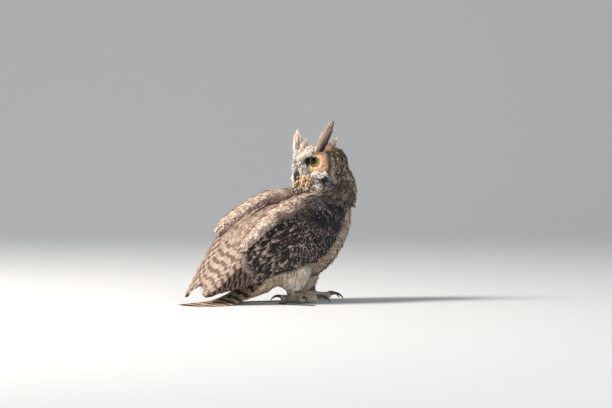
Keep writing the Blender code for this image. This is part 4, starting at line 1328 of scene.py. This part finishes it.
BROW_LINE = [(55, 4, 20), (52, 11, 25), (47, 17, 29), (41, 24, 33), (34, 29, 38)]
LORE_LINES = {"left": [(56, 4, 14), (53, 8, 8), (50, 14, 2), (48, 17, -6), (46, 22, -14)],
              "right": [(50, 13, 17), (50, 14, 10), (50, 15, 2), (48, 18, -6), (46, 22, -14)]}  # fmt: skip
BEARD_LINES = ([(53, 8, -15), (50, 20, -14), (44, 31, -13), (35, 43, -15), (27, 51, -13)],
               [(52, 8, -25), (50, 14, -27), (47, 21, -26)])  # fmt: skip
BROW_COUNT, LORE_COUNT, BEARD_COUNT = 80, 110, 150  # on each line
BROW_LOOKS, BEARD_LOOKS = (0.7, 0, 1), (0.9, 0.3, 0.5)  # where their upper sides look
SPOTTED, PALE_BUFF = srgb(70, 46, 36), srgb(250, 210, 166)
for side_name, side in SIDES.items():
    flip = np.array((1, side, 1))
    count = BROW_COUNT + LORE_COUNT
    lores = along_line(BROW_LINE, BROW_COUNT, 1.4), along_line(LORE_LINES[side_name], LORE_COUNT, 1.6)
    start = np.concatenate(lores) * flip
    lore = (np.arange(count) >= BROW_COUNT)[:, None]
    away = np.where(lore, (0.8, 0.5 * side, -0.15), (0.85, 0.2 * side, 0.05))
    ashen = rng.random((count, 1)) < np.where(lore, 0.2, 0.1)
    pale = np.where(ashen, srgb(200, 188, 184), WHITE)
    bristles(f"brow_{side_name}", start, away, np.where(lore[:, 0], 10, 7.5), pale, BROW_LOOKS)
    count = 2 * BEARD_COUNT
    start = np.concatenate([along_line(line, BEARD_COUNT, 2) for line in BEARD_LINES])
    rear = np.clip((start[:, 1:2] - 22) / 8, 0, 1)
    white = rear if side > 0 else np.clip((start[:, 1:2] - 9) / 8, 0, 1)
    end = np.where(rng.random((count, 1)) < 0.18, srgb(200, 186, 178), WHITE)
    colours = PALE_BUFF * (1 - white) + end * white
    lower = np.arange(count)[:, None] >= BEARD_COUNT
    colours = np.where((rng.random((count, 1)) < 0.22) & lower, SPOTTED, colours)
    start = start + rng.normal(0, 1, (count, 3)) * (0.5, 0.5, 2.5) * rear
    away = np.hstack([0.75 - 1.1 * rear, side * (0.3 + 0.15 * rear), -0.5 + 0.35 * rear])
    away = away + rng.normal(0, 0.15, (count, 3)) * rear
    reach = (11 - 4.5 * rear[:, 0]) * rng.uniform(0.8, 1.2, count)
    bristles(f"beard_{side_name}", start * flip, away, reach, colours, BEARD_LOOKS)

# %% Whiskers round the bill
count = 380
flank = rng.random(count) < 0.55  # these lie along the bill's sides, and the rest spray out round it
turn = rng.uniform(-2.5, 2.5, count)  # radians about the bill, 0 on its top
side = np.sign(turn)
spray = [rng.uniform(42, 49, count), 10 * np.sin(turn), 2 + 10 * np.cos(turn)]
beside = [rng.uniform(43, 52, count), side * rng.uniform(8.4, 11, count), rng.uniform(-12, 6, count)]
start = np.where(flank, beside, spray).T
out = [np.full(count, 0.7), 0.75 * np.sin(turn), 0.55 * np.cos(turn) - 0.1]
ahead = [np.ones(count), side * 0.02, rng.uniform(-0.35, 0.1, count)]
out = unit(np.where(flank, ahead, out).T + rng.normal(0, 0.09, (count, 3)))
reach = np.where(flank, rng.uniform(10, 17, count), rng.uniform(9, 17, count))
share = np.linspace(0, 1, 5)[None, :, None]
bow = np.array((-0.15, 0, -0.35)) * share**2
routes = start[:, None] + (out[:, None] * share + bow) * reach[:, None, None]
looks = np.column_stack([np.full(count, 0.6), side * 0.5, 0.7 + 0.5 * np.cos(turn)])
grounds = np.where(rng.random((count, 1)) < 0.2, srgb(178, 172, 166), srgb(250, 240, 228))
paint = plain_paint(grounds, srgb(60, 54, 50), (1, 0, 0.2), (0.1, 0))
standing("whiskers", from_head(routes), from_head(unit(looks)) - HEAD_AT, reach,
         rng.uniform(1.6, 3.2, count), 0.3, paint, columns=3, fullest=0.7, roundness=0.8, ragged=0.05)

# %% [markdown]
# ## Eyes
# An owl's eye is a fixed tube with a huge yellow iris behind a clear dome. Each eye is drawn out
# ring by ring: a dark pit for the pupil, a shallow dish for the iris, and the eyeball behind. The
# cornea is a clear shell over them, and a lid with a rounded rim frames the whole.


# %% Round pieces, drawn out ring by ring
def lathe(name, profile, sides=48):
    """A piece about Z: a circle that is drawn out through a profile of radii and heights."""
    deselect()
    bpy.ops.mesh.primitive_circle_add(vertices=sides, radius=profile[0][0] * MM, fill_type="NOTHING")
    piece = bpy.context.object
    piece.name = piece.data.name = name
    bpy.ops.object.mode_set(mode="EDIT")
    bpy.ops.mesh.select_all(action="SELECT")
    bpy.ops.transform.translate(value=(0, 0, profile[0][1] * MM))
    for (radius, height), (next_radius, next_height) in zip(profile, profile[1:]):
        rise = (0, 0, (next_height - height) * MM)
        bpy.ops.mesh.extrude_edges_move(TRANSFORM_OT_translate={"value": rise})
        scale = next_radius / radius
        bpy.ops.transform.resize(value=(scale, scale, 1), center_override=(0, 0, next_height * MM))
    bpy.ops.mesh.select_all(action="SELECT")
    bpy.ops.mesh.remove_doubles(threshold=0.03 * MM)
    bpy.ops.mesh.normals_make_consistent(inside=False)
    bpy.ops.object.mode_set(mode="OBJECT")
    piece.data.shade_smooth()
    return piece


def set_in_place(piece, matrix, finish, slot, *nodes):
    """Puts a finished piece's place in its mesh, gives it its finish, and hides the nodes that it stands for.
    Its slot is not used.
    """
    piece.data.transform(matrix)
    piece.data.materials.clear()
    piece.data.materials.append(finish)
    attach(piece, "root")
    if nodes:
        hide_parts(*nodes)


# %% Materials of the eye
IRIS_RADIUS, PUPIL_RADIUS = 11.9, 6.2


def iris_material():
    """Yellow with fine spokes, greener and then dark towards its edge, and black in the pupil. Its olive and
    green tones are painted shade on a yellow iris.
    """
    made, tree, shader = material("owl eye", 0.4, specular_ior_level=0.1)
    x, y, _ = parts(stored(tree, "gaze"))
    radius = maths("SQRT", x * x + y * y)
    spokes = new_node(tree, "CombineXYZ", X=x / radius, Y=y / radius, Z=radius * 0.4)
    # The olive base and the green ring below are painted shade on a yellow iris.
    colour = blend(noise(spokes, 14, 3, 0.6), opaque(150, 136, 20), opaque(216, 204, 66))
    for low, high, ring in (
        (8.2, 10.4, opaque(112, 122, 36)),
        (11, 11.8, opaque(40, 38, 20)),
        (PUPIL_RADIUS + 1.6, PUPIL_RADIUS + 0.4, opaque(110, 92, 20)),
        (PUPIL_RADIUS + 0.15, PUPIL_RADIUS - 0.1, (0.001, 0.001, 0.001, 1)),
    ):
        colour = blend(ramp(radius, low, high), colour, ring)
    feed(shader.inputs["Base Color"], colour)
    return made


def cornea_material():
    """Clear to look through, with the gloss of a wet dome."""
    made, tree, _ = material("clear dome", 0.02)
    mix = tree.nodes.new("ShaderNodeMixShader")
    clear, gloss = new_node(tree, "BsdfTransparent"), new_node(tree, "BsdfGlossy", Roughness=0.03)
    for socket, value in zip(mix.inputs, (new_node(tree, "Fresnel", IOR=1.36), clear, gloss)):
        feed(socket, value)
    feed(tree.nodes["Material Output"].inputs["Surface"], Result(tree, mix.outputs[0]))
    return made


def lid_material():
    """Dark along the top and toward the bill, and pale buff below."""
    made, tree, shader = material("eyelid", 0.5)
    grain = noise(place_in(tree), 900, 3)
    x, y, _ = parts(stored(tree, "gaze"))
    dark = blend(grain, opaque(20, 17, 18), opaque(46, 38, 36))
    feed(shader.inputs["Base Color"], blend(ramp(y + x * 0.5, -1, -6), dark, opaque(206, 178, 130)))
    relief(shader, grain, 1, 0.0003)
    return made


IRIS, CORNEA, LID = iris_material(), cornea_material(), lid_material()

# %% Eyes and lids
def round_profile(radius, angles):
    """Radii and heights of rings on a ball, at these angles from its top."""
    return [(radius * math.sin(math.radians(a)), radius * math.cos(math.radians(a))) for a in angles]


iris_height = math.sqrt(EYE_RADIUS**2 - IRIS_RADIUS**2)
back = round_profile(-EYE_RADIUS * 0.97, (-0.1, -15, -30, -45, -60, -75, -90, -104, -116))
dish = [(radius, iris_height + above) for radius, above in (
    (IRIS_RADIUS, -0.1), (10.4, 0), (8.8, 0.3), (7.4, 0.6), (PUPIL_RADIUS, 0.8), (5.6, 0.3), (5.4, -3),
    (0.02, -3.4))]  # fmt: skip
dome = round_profile(EYE_RADIUS, (66, 58, 50, 42, 34, 26, 18, 10, 4, 0.1))
lid = [ring for radius, angles in (
    (13.45, (100, 78, 64, 57.5)), (13.85, (56,)), (14.3, (56.6,)), (14.6, (59, 66, 80, 100)), (13.45, (100,))
) for ring in round_profile(radius, angles)]  # fmt: skip
LID_EDGE, LID_BACK = 57, 100  # degrees off the gaze, before the lid takes its shape from lid_gap
for side_name, side in SIDES.items():
    centre, axes = EYES[side_name]
    across, upright, gaze = axes @ HEAD_TURN.T
    place = Matrix(np.column_stack([np.cross(upright, gaze), upright, gaze]).tolist()).to_4x4()
    place.translation = from_head(centre) * MM
    ball = lathe(f"eyeball_{side_name}", back + dish)
    store(ball.data, "gaze", read(ball.data.vertices, "co", 3) / MM)
    set_in_place(ball, place, IRIS, "eye", f"eye_{side_name}")
    set_in_place(lathe(f"cornea_{side_name}", dome), place, CORNEA, "eye")
    rim = lathe(f"eyelid_{side_name}", lid, 64)
    ring = read(rim.data.vertices, "co", 3).astype(float) / MM
    store(rim.data, "gaze", ring * (-side, 1, 1))
    far = np.linalg.norm(ring, axis=1)
    flat = unit(ring[:, :2])
    gap = lid_gap(flat * (-side, 1))
    past = (np.degrees(np.arccos(ring[:, 2] / far)) - LID_EDGE) / (LID_BACK - LID_EDGE)
    angle = np.radians(gap + past * (LID_BACK - gap))
    ring = np.column_stack([flat * (far * np.sin(angle))[:, None], far * np.cos(angle)])
    rim.data.vertices.foreach_set("co", (ring * MM).astype(np.float32).ravel())
    set_in_place(rim, place, LID, "eye")
print("eyes look to", [(HEAD_TURN @ axes[2]).round(2) for _, axes in EYES.values()])

# %% [markdown]
# ## Bill and claws
# Horn is modelled straight and then curled: a ring is drawn out along X and shrunk step by step,
# the cross-section is given its ridge, and the whole is bent along an arc. The same few lines make
# the hooked bill, the lower bill and all eight claws.


# %% A curled cone of horn
def horn(name, length, bend, half_wide, half_high, taper, steps, sides=20, ridge=0.0):
    """Starts at the origin along X, and curls down by bend degrees. Ridge narrows its upper side."""
    deselect()
    facing_x = (0, math.pi / 2, 0)
    bpy.ops.mesh.primitive_circle_add(vertices=sides, radius=MM, fill_type="NGON", rotation=facing_x)
    piece = bpy.context.object
    piece.name = piece.data.name = name
    bpy.ops.object.transform_apply(rotation=True)
    bpy.ops.object.mode_set(mode="EDIT")
    bpy.ops.mesh.select_all(action="SELECT")
    bpy.ops.transform.resize(value=(1, half_wide, half_high))
    sizes = [taper(share) for share in np.linspace(0, 1, steps + 1)]
    for i, (size, ahead) in enumerate(zip(sizes, sizes[1:])):
        reach = length / steps * MM
        bpy.ops.mesh.extrude_region_move(TRANSFORM_OT_translate={"value": (reach, 0, 0)})
        scale = ahead / size
        bpy.ops.transform.resize(value=(1, scale, scale), center_override=(reach * (i + 1), 0, 0))
    bpy.ops.mesh.select_all(action="SELECT")
    bpy.ops.mesh.normals_make_consistent(inside=False)
    bpy.ops.object.mode_set(mode="OBJECT")
    place = read(piece.data.vertices, "co", 3) / MM
    share = place[:, 0] / length
    size = np.array([taper(s) for s in share.clip(0, 1)])
    high = (place[:, 2] / (half_high * size)).clip(-1, 1)
    wide = place[:, 1] * (1 - ridge * np.clip(high, 0, 1) ** 2)
    turn = math.radians(bend)
    radius = length / turn
    angle = share * turn
    around = radius + place[:, 2]
    bent = np.column_stack([around * np.sin(angle), wide, around * np.cos(angle) - radius])
    store(piece.data, "along", np.column_stack([share, high, size]))
    piece.data.vertices.foreach_set("co", (bent * MM).astype(np.float32).ravel())
    piece.data.update()
    apply(piece, "SUBSURF", levels=2, render_levels=2)
    piece.data.shade_smooth()
    return piece


def horn_material(name, root, tip, roughness):
    """Horn that changes colour from root to tip, with fine growth lines and a few scratches."""
    made, tree, shader = material(name, roughness, coat_weight=0.35, coat_roughness=0.25)
    place = place_in(tree)
    cloud = noise(place, 260, 3, 0.6)
    share = parts(stored(tree, "along"))[0] + (cloud - 0.5) * 0.25
    colour = blend(ramp(share, 0.12, 0.5), opaque(*root), opaque(*tip))
    worn = ramp(noise(place, 1400, 2), 0.62, 0.74) * 0.25
    feed(shader.inputs["Base Color"], blend(worn, colour, opaque(150, 146, 140)))
    relief(shader, maths("SINE", share * 190) + cloud * 2, 0.35, 0.0002)
    return made


BILL = horn_material("bill horn", (120, 118, 112), (46, 46, 48), 0.36)
CLAW = horn_material("claw horn", (92, 90, 86), (30, 30, 33), 0.3)

# %% Bill
HEAD_PLACE = Matrix(HEAD_TURN.tolist()).to_4x4()
HEAD_PLACE.translation = HEAD_AT * MM
upper = horn("bill_hook", 37, 113, 7.2, 8, lambda s: (1 - s) ** 0.72 * 0.94 + 0.06, steps=14, ridge=0.45)
set_in_place(upper, HEAD_PLACE @ Matrix.Translation((0.050, 0, -0.001)), BILL, "horn", "bill_upper")
lower = horn("bill_under", 18, 40, 5.6, 4, lambda s: (1 - s) ** 0.7 * 0.92 + 0.08, steps=8)
set_in_place(lower, HEAD_PLACE @ Matrix.Translation((0.046, 0, -0.016)), BILL, "horn", "bill_lower")

# %% Claws
CLAW_RADIUS, CLAW_ARC, CLAW_BEND, CLAW_RISE = 4.2, 21.5, 96, 28
TOE_HALF = {"inner": 8.2, "middle": 8.4, "outer": 7.8, "hind": 7.6}
CLAW_PAST, CLAW_ABOVE = 7.9, 0.9  # its root past the toe's length, and its tip above the floor
rise = math.radians(CLAW_RISE)
for side_name in FEET:
    for toe, (_, length) in TOES.items():
        size = TOE_HALF[toe] / 8
        radius = CLAW_ARC * size
        half = CLAW_RADIUS * size
        drop = radius * (math.cos(rise) - math.cos(rise - math.radians(CLAW_BEND)))
        root = over_toe(side_name, toe, length + CLAW_PAST, drop + CLAW_ABOVE)
        talon = horn(
            f"talon_{side_name}_{toe}", radius * math.radians(CLAW_BEND), CLAW_BEND, half * 0.86, half,
            lambda s: (1 - s) ** 0.7 * 0.88 + 0.12 * (1 - 0.7 * s), steps=9, sides=14)  # fmt: skip
        turned = Matrix.Rotation(toe_angle(side_name, toe), 4, "Z") @ Matrix.Rotation(-rise, 4, "Y")
        place = Matrix.Translation(Vector(root * MM)) @ turned
        set_in_place(talon, place, CLAW, "horn", f"claw_{side_name}_{toe}")

# %% [markdown]
# ## Leather
# The bird wears what a trained bird does: a soft leather cuff round each shank, and a strap that
# trails from it. The cuffs are drawn out ring by ring with rolled edges. The straps keep the shape
# of their solids, with their edges rounded.


# %% Leather material
def leather_material(name, dark, light):
    """Grained leather in two tones, lighter where it is worn."""
    made, tree, shader = material(name, 0.6)
    place = place_in(tree)
    cloud = noise(place, 90, 4, 0.6)
    worn = ramp(noise(place, 38, 3, 0.6), 0.45, 0.7) * 0.35
    rubbed = (*(srgb(*light) * 1.3).clip(0, 1), 1)
    feed(shader.inputs["Base Color"], blend(worn, blend(cloud, opaque(*dark), opaque(*light)), rubbed))
    feed(shader.inputs["Roughness"], cloud * 0.3 + 0.45)
    cells = new_node(tree, "TexVoronoi", "Distance", Vector=place, Scale=900)
    relief(shader, cells + cloud * 0.8, 0.6, 0.0003)
    return made


BROWN_LEATHER = leather_material("brown leather", (70, 50, 36), (124, 100, 70))
# The grey purple leather is brown leather painted as if in shade.
GREY_LEATHER = leather_material("grey purple leather", (62, 54, 62), (104, 92, 98))

# %% Cuffs and straps
CUFF_FROM, CUFF_HIGH, CUFF_HALF, CUFF_THICK = 20.5, 11, 15, 1.6
cuff_profile = [(CUFF_HALF + out, CUFF_FROM + up) for out, up in (
    (-CUFF_THICK, 0.5), (0.5 - CUFF_THICK, 0), (-0.1, 0), (0.2, 0.8), (0, 1.6), (0.35, 5.5),
    (0, CUFF_HIGH - 1.6), (0.2, CUFF_HIGH - 0.8), (-0.1, CUFF_HIGH), (0.5 - CUFF_THICK, CUFF_HIGH),
    (-CUFF_THICK, CUFF_HIGH - 0.5), (-CUFF_THICK, 0.5))]  # fmt: skip
for side_name, (x, y, _) in FEET.items():
    place = Matrix.Translation(Vector((ORIGIN + (x - 1, y, 0)) * MM))
    cuff = lathe(f"leather_cuff_{side_name}", cuff_profile, 40)
    set_in_place(cuff, place, BROWN_LEATHER, "leather", f"cuff_{side_name}")
    strap = copied(f"strap_{side_name}", f"leather_strap_{side_name}")
    apply(strap, "BEVEL", width=0.5 * MM, segments=2, limit_method="ANGLE", angle_limit=math.radians(50))
    strap.data.shade_smooth()
    strap.data.set_sharp_from_angle(angle=math.radians(60))
    # The right strap gets the grey purple leather, brown leather painted as if in shade.
    finish = BROWN_LEATHER if side_name == "left" else GREY_LEATHER
    set_in_place(strap, Matrix.Identity(4), finish, "leather", f"strap_{side_name}")

# %% [markdown]
# ## Floor
# The studio floor is one sheet: flat under the bird, and curved up far behind it into a plain wall,
# so that no corner shows.

# %% A floor that sweeps up into the backdrop
bpy.ops.mesh.primitive_plane_add(size=24, location=(0, 0, 0))
floor = bpy.context.object
floor.name = "floor"
edit(floor, (bpy.ops.mesh.subdivide, {"number_cuts": 60}))
bend_from, bend_round = 4.0, 3.0  # metres behind the bird, and the radius of the curve
backward = Vector((-TO_CAMERA.x, -TO_CAMERA.y, 0)).normalized()
for vertex in floor.data.vertices:
    past = -vertex.co.dot(TO_CAMERA) - bend_from
    if past > 0:
        angle = min(past / bend_round, math.pi / 2)
        vertex.co += backward * (bend_round * math.sin(angle) - past)
        vertex.co.z = bend_round * (1 - math.cos(angle)) + max(past - bend_round * math.pi / 2, 0)
floor.data.shade_smooth()
plain, _, shader = material("floor", 0.9)
shader.inputs["Base Color"].default_value = (0.7, 0.71, 0.72, 1)
floor.data.materials.append(plain)
print("floor:", len(floor.data.polygons), "faces")
